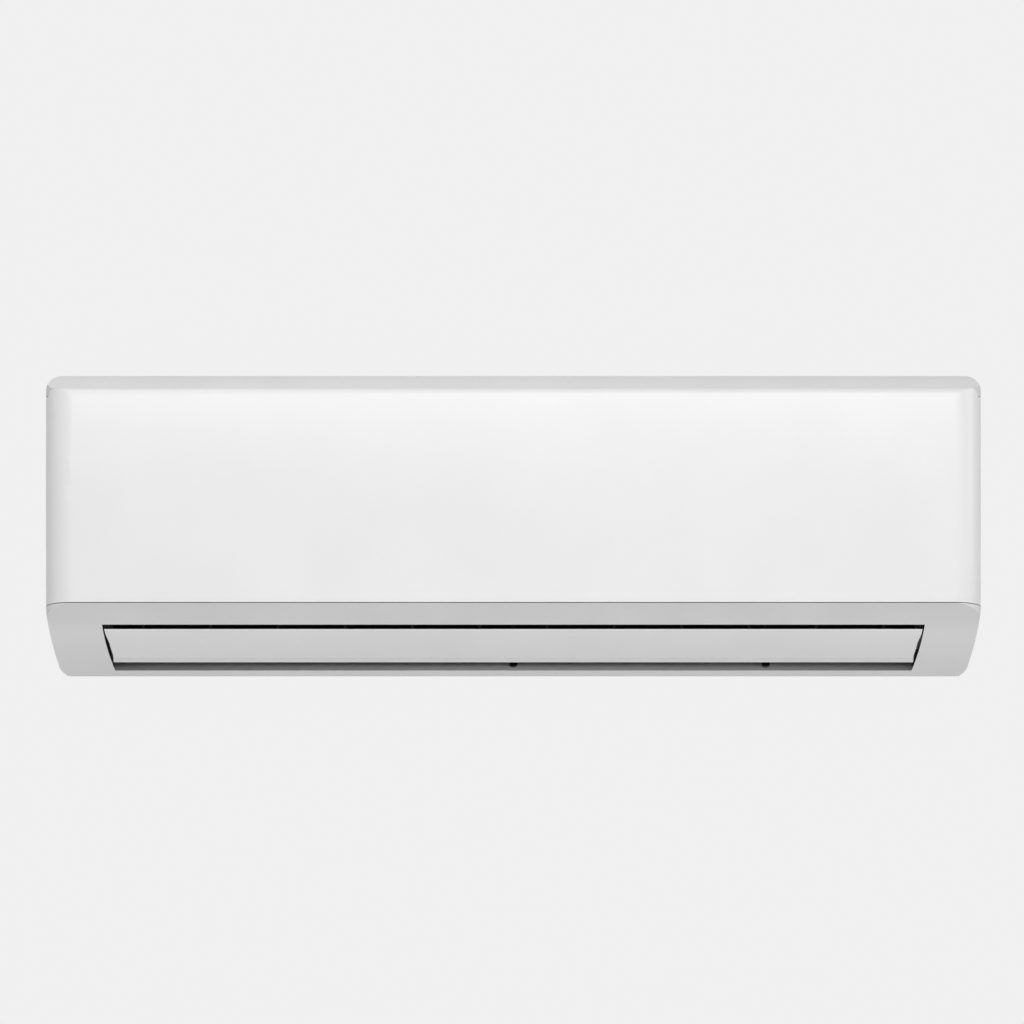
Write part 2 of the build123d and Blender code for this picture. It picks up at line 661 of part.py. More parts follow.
# ================================================================ cross-flow fan
fan_axis = (fan_y, fan_h)
bulkhead_left = (-duct_outer, -duct_half)
bulkhead_right = (fan_wall_right, fan_wall_right + duct_wall)
motor_left = fan_wall_right + 6.0
motor_right = fan_wall_right + 78.0
motor_sides = 12
motor_radius = 40.0
mount_radius = 44.0
motor_flat = motor_radius * cos(pi / motor_sides)
mount_flat = mount_radius * cos(pi / motor_sides)
rib_places = (fan_wall_right + 32.0, fan_wall_right + 66.0)
rib_width = 4.0

with BuildPart() as fan_rotor:
    with BuildSketch(Plane.YZ.offset(fan_left)) as blades:
        with Locations((fan_y, up(fan_h))):
            with PolarLocations(fan_radius - 6.2, blade_count):
                Polygon((-5.2, -3.4), (5.0, 3.2), (4.4, 4.2), (-5.8, -2.5), align=None)
    extrude(blades.sketch, amount=fan_right - fan_left)
    for n in range(disc_count):
        x0 = fan_left + n * (fan_right - fan_left - disc_width) / (disc_count - 1)
        rod(fan_radius, x0, x0 + disc_width, fan_axis, sides=blade_count)
        if 0 < n < disc_count - 1:
            rod(fan_radius - 12, x0 - 1, x0 + disc_width + 1, fan_axis, mode=Mode.SUBTRACT,
                sides=round_sides)
    for x0 in (fan_left, fan_right - 14):
        rod(9.0, x0, x0 + 14, fan_axis, sides=small_sides)
        rod(shaft_radius + 0.05, x0 - 1, x0 + 15, fan_axis, mode=Mode.SUBTRACT,
            sides=round_sides)
fan_rotor.part.label = "fan_rotor"

with BuildPart() as fan_shaft:
    rod(shaft_radius, -duct_outer - 6.5, fan_left + 13, fan_axis)
    rod(shaft_radius, fan_right - 13, motor_left + 20, fan_axis)
fan_shaft.part.label = "fan_shaft"

with BuildPart() as fan_bearing:
    rod(13.7, bulkhead_left[0] - 0.5, bulkhead_left[1] + 1.5, fan_axis, sides=round_sides)
    rod(18.0, bulkhead_left[0] - 4, bulkhead_left[0], fan_axis, sides=round_sides)
    rod(shaft_radius + 0.08, bulkhead_left[0] - 5, bulkhead_left[1] + 3, fan_axis,
        mode=Mode.SUBTRACT, sides=round_sides)
fan_bearing.part.label = "fan_bearing"

with BuildPart() as fan_motor:
    rod(motor_radius, motor_left, motor_right, fan_axis, sides=motor_sides)
    chamfer(fan_motor.faces().filter_by(Axis.X).edges(), 4)
    rod(14.0, motor_left - 2, motor_right + 3, fan_axis, sides=round_sides)
    rod(shaft_radius + 0.08, motor_left - 3, motor_left + 22, fan_axis, mode=Mode.SUBTRACT,
        sides=round_sides)
fan_motor.part.label = "fan_motor"

with BuildPart() as motor_mounts:
    for x in rib_places:
        rod(mount_radius, x - 2, x + rib_width + 2, fan_axis, sides=motor_sides)
        rod(motor_flat + 0.1, x - 3, x + rib_width + 3, fan_axis, mode=Mode.SUBTRACT,
            sides=motor_sides)
motor_mounts.part.label = "motor_mounts"

with BuildPart() as motor_clamp:
    rod(mount_radius + 4, rib_places[0] - 2, rib_places[1] + 6, fan_axis, sides=motor_sides)
    block(motor_left - 24, motor_right + 24, fan_y - 76, fan_y + 84, fan_h - 60, fan_h,
          mode=Mode.SUBTRACT)
    for y0, y1 in ((fan_y - 51, fan_y - 42), (fan_y + 42, fan_y + 51)):
        block(rib_places[0] - 2, rib_places[1] + 6, y0, y1, fan_h, fan_h + 3)
    rod(mount_flat + fit, motor_left - 24, motor_right + 24, fan_axis, mode=Mode.SUBTRACT,
        sides=motor_sides)
motor_clamp.part.label = "motor_clamp"

# ================================================================ chassis
back_face = -(pocket_depth + chassis_wall)
hook_places = (-260.0, 260.0)
recess_shelf = (57.5, 60.0)
pipe_slot = (fan_wall_right + 2.8, fan_wall_right + 28.0)
recess_half = half_width - 23.0

with BuildPart() as plate_pocket:
    add(cabinet_form(wall + fit + chassis_wall))
    block(-half_width, half_width, -pocket_depth, 60, -10, height + 10, mode=Mode.INTERSECT)

with BuildPart() as chassis:
    add(cabinet_form(wall + fit))
    block(-half_width, half_width, back_face, 0, -10, height + 10, mode=Mode.INTERSECT)
    add(plate_pocket.part, mode=Mode.SUBTRACT)
    block(-recess_half, recess_half, back_face - 1, 1, -10, recess_shelf[0], mode=Mode.SUBTRACT)
    block(-recess_half - 2.5, recess_half + 2.5, -47.2, -pocket_depth, *recess_shelf)
    block(18 + fit - half_width, half_width - 18 - fit, strip_front + fit, -1, 0, 2.5)
    for side in (-1, 1):
        x = side * (recess_half + 1.2)
        block(x - 1.3, x + 1.3, strip_front + 1, -0.5, 2, recess_shelf[1])
    bulkhead = [(-13, shelf_top), (-13, height - 121), (fan_y + 36, height - 121),
                (fan_y + 14, height - 103), (fan_y - 14, height - 81), (fan_y - 46, height - 107),
                (fan_y - 58, fan_h + 8), (fan_y - 58, shelf_top)]
    for x0, x1 in (bulkhead_left, bulkhead_right):
        prism(bulkhead, x0, x1)
        rod(14.0, x0 - 1, x1 + 1, fan_axis, mode=Mode.SUBTRACT, sides=round_sides)
    rear_tray = (fan_y + 41, height - 128)
    prism([(-13, rear_tray[1]), rear_tray, (rear_tray[0], rear_tray[1] + 9),
           (rear_tray[0] + 2.5, rear_tray[1] + 9), (rear_tray[0] + 2.5, rear_tray[1] + 2.5),
           (-13, rear_tray[1] + 2.5)], bulkhead_left[1] - 1, bulkhead_right[0] + 1)
    for x in rib_places:
        block(x, x + rib_width, fan_y - 51, back_face + 1, shelf_top, fan_h)
    block(rib_places[0], rib_places[1] + rib_width, fan_y - 51, back_face + 1, shelf_top,
          shelf_top + 2.5)
    rod(mount_flat + fit, rib_places[0] - 1, rib_places[1] + 5, fan_axis, mode=Mode.SUBTRACT,
        sides=motor_sides)
    block(pipe_slot[0], pipe_slot[1], -41, back_face - 0.5, 50, 65, mode=Mode.SUBTRACT)
    for x in hook_places:
        block(x - 20, x + 20, back_face - 1, 1 - pocket_depth, plate_high_h - 1.8, plate_high_h + 9,
              mode=Mode.SUBTRACT)
chassis.part.label = "chassis"

# ================================================================ wall plate
with BuildPart() as wall_plate:
    block(plate_left, plate_right, -plate_sheet, 0, plate_low_h, plate_high_h)
    for h in (plate_low_h, plate_high_h - plate_sheet):
        block(plate_left, plate_right, fit - pocket_depth, 0, h, h + plate_sheet)
    for x in hook_places:
        block(x - 18, x + 18, back_face - 2.5, fit - pocket_depth, plate_high_h - plate_sheet,
              plate_high_h)
        block(x - 18, x + 18, back_face - 2.5, back_face - 2.5 + plate_sheet, plate_high_h - 1,
              plate_high_h + 6)
    with BuildSketch(Plane.XZ) as openings:
        with Locations((0, up(150))):
            with GridLocations(screw_spacing_x, screw_spacing_z, 2, 2):
                Circle(wall_hole_radius)
        with Locations((0, up(150))):
            with GridLocations(160, 128, 4, 2):
                Rectangle(12, 5)
        with Locations((-130, up(150)), (130, up(150))):
            Rectangle(180, 100)
        for x0, x1 in ((plate_left + 40, -screw_spacing_x / 2 - 50),
                       (screw_spacing_x / 2 + 40, plate_right - 20)):
            with Locations(((x0 + x1) / 2, up(150))):
                Rectangle(x1 - x0, 60)
    extrude(openings.sketch, amount=4, both=True, mode=Mode.SUBTRACT)
wall_plate.part.label = "wall_plate"

# ================================================================ heat exchanger
slope_a = (0.6338, 0.7735)
inner_a = (0.7735, -0.6338)
slope_b = (0.6260, -0.7798)
inner_b = (-0.7798, -0.6260)
foot_a = (30.0 - depth, height - 111)
head_b = (134.0 - depth, height - 35)
fin_front = 28.0 - depth
fin_middle = fin_front + fin_depth / 2
coil_outlines = {
    "coil_front": [(fin_front, 96.0), (fin_front + fin_depth, 96.0),
                   (fin_front + fin_depth, foot_a[1] - 20), (fin_front, foot_a[1] - 8)],
    "coil_upper": [foot_a, move(foot_a, (fin_depth, inner_a)),
                   move(foot_a, (100, slope_a), (fin_depth, inner_a)), move(foot_a, (100, slope_a))],
    "coil_rear": [head_b, move(head_b, (85, slope_b)),
                  move(head_b, (85, slope_b), (fin_depth, inner_b)),
                  move(head_b, (fin_depth, inner_b))],
}


def fin_block(outline, label):
    """One bank of fins across the air path."""
    with BuildPart() as bank:
        prism(outline, air_left, air_right)
    bank.part.label = label
    return bank.part


def coil_plate(x0, x1, label):
    """The sheet that ends all three banks."""
    with BuildPart() as plate:
        with BuildSketch(Plane.YZ.offset(x0)) as face:
            for outline in coil_outlines.values():
                with BuildLine():
                    Polyline(*[(y, up(h)) for y, h in outline], close=True)
                make_face()
            offset(amount=2.4, kind=Kind.INTERSECTION)
        extrude(face.sketch, amount=x1 - x0)
    plate.part.label = label
    return plate.part


coil_banks = [fin_block(outline, label) for label, outline in coil_outlines.items()]
coil_plates = [coil_plate(air_left - end_plate, air_left, "coil_end_left"),
               coil_plate(air_right, air_right + end_plate, "coil_end_right")]

bend_pairs = (
    ((fin_middle, 106.0), (fin_middle, 127.0)),
    ((fin_middle, 142.0), (fin_middle, 163.0)),
    *[[move(foot_a, (along, slope_a), (fin_depth / 2, inner_a)) for along in pair]
      for pair in ((14, 35), (60, 81))],
    *[[move(head_b, (along, slope_b), (fin_depth / 2, inner_b)) for along in pair]
      for pair in ((16, 37), (54, 75))],
)

with BuildPart() as return_bends:
    for (ya, ha), (yb, hb) in bend_pairs:
        x = air_left - end_plate
        tube_run([(x, ya, ha), (x - 14, ya, ha), (x - 14, yb, hb), (x, yb, hb)], tube_radius, 7, 6)
return_bends.part.label = "return_bends"

gas_radius = 6.35          # half inch tube
liquid_radius = 3.2        # quarter inch tube
gas_x = fan_wall_right + 10.0      # where the tubes go down to the back
liquid_x = fan_wall_right + 21.0
gas_end = (75.0, -24.5, 40.0)
liquid_end = (110.0, -19.5, 20.0)
gas_start = move(head_b, (30, slope_b), (fin_depth / 2, inner_b))
liquid_start = move(head_b, (70, slope_b), (fin_depth / 2, inner_b))
# end of the tube, hexagon's radius and length, thread's radius and length
flares = ((gas_end, 13.0, 12.0, 9.5, 14.0), (liquid_end, 9.0, 10.0, 5.55, 12.0))

with BuildPart() as gas_pipe:
    tube_run([(air_right + end_plate, *gas_start), (gas_x, *gas_start),
              (gas_x, gas_end[1], gas_start[1] - 5), (gas_x, *gas_end[1:]), gas_end],
             gas_radius, 7, small_sides)
gas_pipe.part.label = "gas_pipe"

with BuildPart() as liquid_pipe:
    tube_run([(air_right + end_plate, *liquid_start), (liquid_x, *liquid_start),
              (liquid_x, liquid_end[1], liquid_start[1] - 4), (liquid_x, *liquid_end[1:]),
              liquid_end],
             liquid_radius, 6, small_sides)
liquid_pipe.part.label = "liquid_pipe"

with BuildPart() as flare_unions:
    for (x, y, h), hexagon, hexagon_length, thread, thread_length in flares:
        rod(hexagon, x - hexagon_length, x, (y, h), sides=6)
        rod(thread, x - hexagon_length - thread_length, x - hexagon_length, (y, h),
            sides=round_sides)
flare_unions.part.label = "flare_unions"

sensor = (250.0, fin_front - 3.0)

with BuildPart() as air_sensor:
    post(2.5, *sensor, 150, 186, sides=small_sides)
air_sensor.part.label = "air_sensor"

with BuildPart() as sensor_clip:
    block(sensor[0] - 6, sensor[0] + 6, sensor[1] - 3.4, fin_front, 160, 168)
    post(2.6, *sensor, 150, 186, mode=Mode.SUBTRACT, sides=small_sides)
sensor_clip.part.label = "sensor_clip"

# ================================================================ drain
tray_low = 83.5
tray_high = 98.0
tray_front = 22.0 - depth
tray_rear = 62.0 - depth
tray_end = fan_wall_right + 17.0
tray_sheet = 2.2
tray = [(tray_front, tray_low), (tray_rear, tray_low), (tray_rear, tray_high),
        (tray_rear - tray_sheet, tray_high), (tray_rear - tray_sheet, tray_low + tray_sheet),
        (tray_front + tray_sheet, tray_low + tray_sheet), (tray_front + tray_sheet, tray_high),
        (tray_front, tray_high)]
spigot_x = 42.0 - half_width
spigot_h = 44.0
spigot_radius = 8.0
spigot_end = -28.0

with BuildPart() as drain_tray:
    prism(tray, spigot_x - 12, tray_end)
    block(tray_end - tray_sheet, tray_end, tray_front, tray_rear, tray_low, tray_high)
    block(spigot_x - 12, spigot_x + 12, tray_front, -62, tray_low, tray_high)
    block(spigot_x - 9.8, spigot_x + 9.8, tray_front + tray_sheet, -64.2, tray_low + tray_sheet,
          tray_high + 1, mode=Mode.SUBTRACT)
    block(spigot_x + 8, spigot_x + 14, tray_front + tray_sheet, tray_rear - tray_sheet,
          tray_low + tray_sheet, tray_high + 1, mode=Mode.SUBTRACT)
    block(spigot_x - 12, spigot_x + 12, -86, -62, 34, tray_low + 1)
    block(spigot_x - 9.8, spigot_x + 9.8, -83.8, -64.2, 36.2, tray_high + 1, mode=Mode.SUBTRACT)
    stub(spigot_radius, spigot_x, spigot_h, spigot_end, -63)
    stub(spigot_radius - 2.0, spigot_x, spigot_h, spigot_end + 1, -70, mode=Mode.SUBTRACT,
         sides=round_sides)
drain_tray.part.label = "drain_tray"

# ================================================================ filters
filter_path = [(filter_rear, filter_bend_h + filter_bend_radius)]
for n in range(5):
    turn = radians(90 + 22.5 * n)
    filter_path.append((filter_bend_radius - filter_face + filter_bend_radius * cos(turn),
                        filter_bend_h + filter_bend_radius * sin(turn)))
filter_path.append((-filter_face, filter_low_h))
frame_outline = bent_sheet(filter_path, filter_sheet)
mesh_path = frame_outline[len(filter_path):][::-1]
bend_centre = (filter_bend_radius - filter_face, filter_bend_h)
bend_window = [move(bend_centre, (reach, (cos(radians(turn)), sin(radians(turn)))))
               for reach, turn in ((20, 95), (20, 135), (20, 176), (70, 175), (70, 135), (70, 96))]


def air_filter(x0, x1, side):
    """A curved filter frame and the mesh on its inner face."""
    cell = (x1 - x0 - 4) / filter_columns
    with BuildPart() as frame:
        prism(frame_outline, x0, x1)
        for n in range(filter_columns):
            left = x0 + 4 + n * cell
            right = left + cell - 4
            for h0, h1 in ((108.0, 166.0), (170.0, filter_bend_h - 4)):
                block(left, right, 2 - depth, 32 - depth, h0, h1, mode=Mode.SUBTRACT)
            prism(bend_window, left, right, mode=Mode.SUBTRACT)
            block(left, right, 64 - depth, -100, height - 43, height - 13, mode=Mode.SUBTRACT)
            block(left, right, -96, filter_rear - 4, height - 43, height - 13, mode=Mode.SUBTRACT)
        middle = (x0 + x1) / 2
        tab_h = window_low_h + 2
        block(middle - 20, middle + 20, 10 - depth, -filter_face + 0.5, tab_h, tab_h + 2)
        block(middle - 20, middle + 20, 10 - depth, 11.5 - depth, tab_h, tab_h + 5)
    frame.part.label = f"filter_{side}"
    with BuildPart() as mesh:
        prism(bent_sheet(mesh_path, mesh_sheet), x0 + 1, x1 - 1)
    mesh.part.label = f"mesh_{side}"
    return [frame.part, mesh.part]


filters = [*air_filter(air_left - 3, mullion_x - 1.5, "left"),
           *air_filter(mullion_x + 1.5, air_right + 3, "right")]

# ================================================================ electrics
box_left = half_width - 58.0
box_right = half_width - 14.0
box_sheet = 2.2
box_high_h = height - 23.0
board_x = half_width - 22.0        # face of the control board
box_front = 36.0 - depth
terminal_front = box_front + 4

with BuildPart() as ebox:
    block(box_left, box_right, box_front, back_face - fit, 100, box_high_h)
    block(box_left - 1, box_right - 2, box_front + 2, back_face - fit - 2, 102, box_high_h - 2,
          mode=Mode.SUBTRACT)
    for y in (box_front + 16, -36.0):
        for h in (118.0, box_high_h - 18):
            rod(3.0, board_x + 1.6, box_right - 1, (y, h), sides=small_sides)
ebox.part.label = "ebox"

with BuildPart() as ebox_cover:
    block(box_left - box_sheet, box_left, box_front, back_face - fit, 100, box_high_h)
    with BuildSketch(Plane.YZ.offset(box_left - 4)) as vents:
        with Locations((-95, up(190))):
            with GridLocations(18, 0, 5, 1):
                Rectangle(8, 60)
    extrude(vents.sketch, amount=8, mode=Mode.SUBTRACT)
ebox_cover.part.label = "ebox_cover"

with BuildPart() as control_board:
    block(board_x, board_x + 1.6, box_front + 8, -28, 110, box_high_h - 10)
control_board.part.label = "control_board"

with BuildPart() as board_parts:
    rod(11.0, board_x - 30, board_x, (-50, 135), sides=round_sides)
    rod(8.0, board_x - 24, board_x, (-78, 130), sides=round_sides)
    for tall, y0, y1, h0, h1 in ((28, -160, -118, 205, 245), (18, -110, -90, 120, 150),
                                 (16, -160, -125, 125, 150), (14, -60, -36, 190, 240),
                                 (10, -100, -72, 175, 215)):
        block(board_x - tall, board_x, y0, y1, h0, h1)
board_parts.part.label = "board_parts"

with BuildPart() as terminal_block:
    block(box_left - 18, box_left - box_sheet, terminal_front, terminal_front + 50, 150, 172)
    for n in range(5):
        y = terminal_front + 2 + 10 * n
        block(box_left - 19, box_left - 14, y, y + 6, 152, 170, mode=Mode.SUBTRACT)
terminal_block.part.label = "terminal_block"

with BuildPart() as display_board:
    block(board_left, board_right, board_face, board_face + 1.6, 99, 129)
    block(board_left + 40, board_left + 74, board_face - 3.5, board_face, 106, 122)
    stub(3.5, board_left + 83, button_h, board_face, board_face - 3.5, sides=small_sides)
display_board.part.label = "display_board"

with BuildPart() as manual_button:
    stub(button_radius, button_x, button_h, board_face - 1.6, board_face - 5.4, sides=round_sides)
    stub(5.5, button_x, button_h, board_face - button_travel - 0.2, board_face - button_travel - 1.2,
         sides=small_sides)
manual_button.part.label = "manual_button"

with BuildPart() as wiring_cover:
    add(cabinet_form(core_inset))
    add(cabinet_form(core_inset + wall), mode=Mode.SUBTRACT)
    x0, x1, low, high = windows[2]
    block(x0 + fit, x1 - fit, -8 - depth, 32 - depth, low + fit, high - fit, mode=Mode.INTERSECT)
    stub(2.0, (x0 + x1) / 2, high - 12, 22 - depth, -3 - depth, mode=Mode.SUBTRACT, sides=small_sides)
wiring_cover.part.label = "wiring_cover"

# ================================================================ screws
cover_screw_h = windows[2][3] - 12
cover_face = core_inset + centre_y - sqrt(panel_radius ** 2 - (cover_screw_h - panel_mid_h) ** 2)

with BuildPart() as cover_screw:
    x = (windows[2][0] + windows[2][1]) / 2
    stub(3.2, x, cover_screw_h, cover_face - 0.2, cover_face - 1.8, sides=small_sides)
    stub(1.9, x, cover_screw_h, cover_face + 5, cover_face - 0.2, sides=small_sides)
cover_screw.part.label = "cover_screw"

with BuildPart() as foot_screw_set:
    for x in foot_screws:
        post(4.1, x, foot_screw_y, 2.8, 5, sides=small_sides)
        post(1.8, x, foot_screw_y, 5, 16, sides=small_sides)
foot_screw_set.part.label = "foot_screws"

with BuildPart() as screw_caps:
    for x in foot_screws:
        block(x - cap_length / 2 + fit, x + cap_length / 2 - fit, foot_screw_y - cap_width / 2 + fit,
              foot_screw_y + cap_width / 2 - fit, 0.2, 1.6)
screw_caps.part.label = "screw_caps"

pieces = [
    front_frame.part, front_panel.part, top_grille.part, air_duct.part, lip_screws.part,
    flap_brackets.part, flap.part, flap_motor.part, fan_rotor.part, fan_shaft.part,
    fan_bearing.part, fan_motor.part, motor_mounts.part, motor_clamp.part, chassis.part,
    wall_plate.part, return_bends.part, gas_pipe.part, liquid_pipe.part, flare_unions.part,
    air_sensor.part, sensor_clip.part, drain_tray.part, ebox.part, ebox_cover.part,
    control_board.part, board_parts.part, terminal_block.part, display_board.part,
    manual_button.part, wiring_cover.part, cover_screw.part, foot_screw_set.part, screw_caps.part,
    *vanes, *rails, *bars, *coil_banks, *coil_plates, *filters,
]
for piece in pieces:
    export_step(piece, f"parts/{piece.label}.step")
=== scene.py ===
"""Mini split indoor unit: materials, fine pieces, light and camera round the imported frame.

Metres, +X to the right seen from the front, +Y into the wall, +Z up. Every size that belongs
to the object comes from the frame; MM turns millimetres into metres.
"""
import json
import math

import bmesh
import bpy
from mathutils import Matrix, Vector


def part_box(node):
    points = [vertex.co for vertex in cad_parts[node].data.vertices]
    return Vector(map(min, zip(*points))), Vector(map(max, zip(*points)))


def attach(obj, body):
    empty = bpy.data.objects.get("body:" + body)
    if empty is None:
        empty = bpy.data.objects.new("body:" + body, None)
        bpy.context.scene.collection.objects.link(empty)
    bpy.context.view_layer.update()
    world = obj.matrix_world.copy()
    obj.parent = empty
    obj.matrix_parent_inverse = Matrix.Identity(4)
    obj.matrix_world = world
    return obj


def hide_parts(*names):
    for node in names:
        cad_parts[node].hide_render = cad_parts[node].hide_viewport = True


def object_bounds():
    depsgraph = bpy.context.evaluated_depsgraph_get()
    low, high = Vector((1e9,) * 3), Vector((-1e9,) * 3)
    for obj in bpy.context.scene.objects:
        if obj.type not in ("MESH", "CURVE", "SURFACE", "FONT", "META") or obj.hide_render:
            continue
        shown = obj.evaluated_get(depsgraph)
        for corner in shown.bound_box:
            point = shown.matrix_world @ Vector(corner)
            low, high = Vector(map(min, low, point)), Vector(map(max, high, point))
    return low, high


MM = 0.001
scene = bpy.context.scene
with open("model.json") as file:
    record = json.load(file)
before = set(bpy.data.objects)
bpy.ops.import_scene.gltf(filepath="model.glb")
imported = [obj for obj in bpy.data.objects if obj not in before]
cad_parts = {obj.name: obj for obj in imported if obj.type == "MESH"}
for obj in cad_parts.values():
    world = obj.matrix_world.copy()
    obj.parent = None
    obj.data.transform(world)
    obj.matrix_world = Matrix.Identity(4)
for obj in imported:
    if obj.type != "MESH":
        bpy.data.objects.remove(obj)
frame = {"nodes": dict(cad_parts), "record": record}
cad_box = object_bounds()
NODES = frame["nodes"]
SLOT_OF = {part["node"]: part["material_slot"] for part in frame["record"]["subparts"]}

# ---------------------------------------------------------------- photograph's frame
PHOTO_PIXELS = 1024
PHOTO_MM_PER_PIXEL = 1.00535
PHOTO_MIDDLE = (513.4, 526.5)      # the object's middle, in pixels
LENS = 600.0
SENSOR = 36.0
OUTLINE_BEHIND_FRONT = 28 * MM     # the outline seen from the front is the corners' rear edge
BACKDROP = 240                     # grey of the photograph's plain background, of 255
FLOOR_SHADING = 0.25               # share of the floor's own light and shadow where it is seen


# ================================================================ materials
def linear(level):
    """An sRGB level of 255 as a linear value."""
    c = level / 255
    return c / 12.92 if c <= 0.04045 else ((c + 0.055) / 1.055) ** 2.4


def colour(*levels):
    """A linear RGBA colour from sRGB levels, or one level for grey."""
    r, g, b = levels if len(levels) == 3 else levels * 3
    return (linear(r), linear(g), linear(b), 1.0)


class Shade:
    """A node material, with short calls for the nodes that these materials share."""

    def __init__(self, name, roughness, metallic=0.0, specular=0.5, coat=0.0):
        self.material = bpy.data.materials.new(name)
        self.material.use_nodes = True
        self.tree = self.material.node_tree
        self.shader = self.tree.nodes["Principled BSDF"]
        self.shader.inputs["Roughness"].default_value = roughness
        self.shader.inputs["Metallic"].default_value = metallic
        self.shader.inputs["Specular IOR Level"].default_value = specular
        self.shader.inputs["Coat Weight"].default_value = coat
        self.shader.inputs["Coat Roughness"].default_value = 0.2
        self.place = self.tree.nodes.new("ShaderNodeTexCoord").outputs["Object"]
        self.height = None

    def node(self, kind, **settings):
        made = self.tree.nodes.new(kind)
        for key, value in settings.items():
            setattr(made, key, value)
        return made

    def link(self, start, end):
        self.tree.links.new(start, end)

    def noise(self, size, detail=2.0, stretch=(1, 1, 1)):
        """Noise with features of about the given size in metres."""
        scale = self.node("ShaderNodeMapping")
        scale.inputs["Scale"].default_value = [s / size for s in stretch]
        self.link(self.place, scale.inputs["Vector"])
        made = self.node("ShaderNodeTexNoise")
        made.inputs["Scale"].default_value = 1.0
        made.inputs["Detail"].default_value = detail
        self.link(scale.outputs["Vector"], made.inputs["Vector"])
        return made.outputs["Fac"]

    def lines(self, pitch, axis, sharp=0.5):
        """Straight lines across an axis, as a value from 0 to 1, repeating at a pitch."""
        wave = self.node("ShaderNodeTexWave", wave_type="BANDS", bands_direction=axis,
                         wave_profile="SIN")
        wave.inputs["Scale"].default_value = math.pi / 10 / pitch
        self.link(self.place, wave.inputs["Vector"])
        curve = self.node("ShaderNodeMapRange")
        curve.inputs["From Min"].default_value = 0.5 - sharp / 2
        curve.inputs["From Max"].default_value = 0.5 + sharp / 2
        self.link(wave.outputs["Fac"], curve.inputs["Value"])
        return curve.outputs["Result"]

    def between(self, value, low, high, start=0.0, end=1.0):
        """A value's range mapped to another range."""
        made = self.node("ShaderNodeMapRange")
        for name, number in (("From Min", start), ("From Max", end), ("To Min", low),
                             ("To Max", high)):
            made.inputs[name].default_value = number
        self.link(value, made.inputs["Value"])
        return made.outputs["Result"]

    def mix(self, value, first, second):
        """A colour between two colours or colour outputs."""
        made = self.node("ShaderNodeMix", data_type="RGBA")
        self.link(value, made.inputs["Factor"])
        for socket, source in ((made.inputs["A"], first), (made.inputs["B"], second)):
            if isinstance(source, tuple):
                socket.default_value = source
            else:
                self.link(source, socket)
        return made.outputs["Result"]

    def paint(self, source):
        self.link(source, self.shader.inputs["Base Color"])
        return self

    def rough(self, source):
        self.link(source, self.shader.inputs["Roughness"])
        return self

    def bump(self, source, depth, strength=1.0):
        """Adds relief of a depth in metres, on top of any that is there."""
        made = self.node("ShaderNodeBump")
        made.inputs["Strength"].default_value = strength
        made.inputs["Distance"].default_value = depth
        self.link(source, made.inputs["Height"])
        if self.height:
            self.link(self.height, made.inputs["Normal"])
        self.height = made.outputs["Normal"]
        self.link(self.height, self.shader.inputs["Normal"])
        return self


def moulded(name, level, texture=0.35, depth=0.012, roughness=0.42, drift=0.012, coat=0.0):
    """Moulded plastic: faint drift of tone, spark-eroded texture, roughness that varies."""
    shade = Shade(name, roughness, coat=coat)
    tone = colour(*level) if isinstance(level, tuple) else colour(level)
    dark = tuple(c * (1 - 2.5 * drift) for c in tone[:3]) + (1.0,)
    light = tuple(min(1.0, c * (1 + drift)) for c in tone[:3]) + (1.0,)
    broad = shade.noise(90 * MM, 3)
    grain = shade.noise(texture * MM, 2)
    shade.paint(shade.mix(shade.between(broad, 0, 1, 0.35, 0.65), dark, light))
    shade.rough(shade.between(grain, roughness - 0.05, roughness + 0.06, 0.3, 0.7))
    shade.bump(grain, depth * MM)
    return shade.material


def fan_plastic(name):
    """Glass-filled plastic: dark, with short fibres along the moulding."""
    shade = Shade(name, 0.55)
    fibre = shade.noise(0.5 * MM, 3, stretch=(0.15, 1, 1))
    shade.paint(shade.mix(shade.between(fibre, 0, 1, 0.4, 0.75), colour(34, 35, 37),
                          colour(52, 53, 56)))
    shade.rough(shade.between(fibre, 0.45, 0.62))
    shade.bump(fibre, 0.02 * MM)
    return shade.material


def net(name):
    """Woven filter net: threads both ways, with near-black openings between them as painted shade in place
    of holes.
    """
    shade = Shade(name, 0.7)
    across = shade.lines(1.1 * MM, "X", 0.5)
    up = shade.lines(1.1 * MM, "Z", 0.5)
    along = shade.lines(1.1 * MM, "Y", 0.5)
    upright = shade.node("ShaderNodeMath", operation="MAXIMUM")
    shade.link(up, upright.inputs[0])
    shade.link(along, upright.inputs[1])
    thread = shade.node("ShaderNodeMath", operation="MAXIMUM")
    shade.link(across, thread.inputs[0])
    shade.link(upright.outputs["Value"], thread.inputs[1])
    # The openings are painted near-black: painted shade where holes through the net would show the shaded
    # inside.
    shade.paint(shade.mix(thread.outputs["Value"], colour(30, 32, 35), colour(96, 101, 108)))
    shade.bump(thread.outputs["Value"], 0.15 * MM)
    return shade.material


def sheet_metal(name, level, spangle=0.0, roughness=0.38, grain=0.6):
    """Metal sheet: zinc spangle or drawn grain, with roughness to match."""
    shade = Shade(name, roughness, metallic=1.0)
    tone = colour(*level) if isinstance(level, tuple) else colour(level)
    dark = tuple(c * 0.78 for c in tone[:3]) + (1.0,)
    if spangle:
        cells = shade.node("ShaderNodeTexVoronoi")
        cells.inputs["Scale"].default_value = 1 / (spangle * MM)
        shade.link(shade.place, cells.inputs["Vector"])
        flake = shade.node("ShaderNodeSeparateColor")
        shade.link(cells.outputs["Color"], flake.inputs["Color"])
        value = flake.outputs["Red"]
    else:
        value = shade.noise(grain * MM, 3, stretch=(0.06, 1, 1))
    shade.paint(shade.mix(value, dark, tone))
    shade.rough(shade.between(value, roughness - 0.08, roughness + 0.1))
    shade.bump(shade.noise(0.3 * MM, 2), 0.01 * MM)
    return shade.material


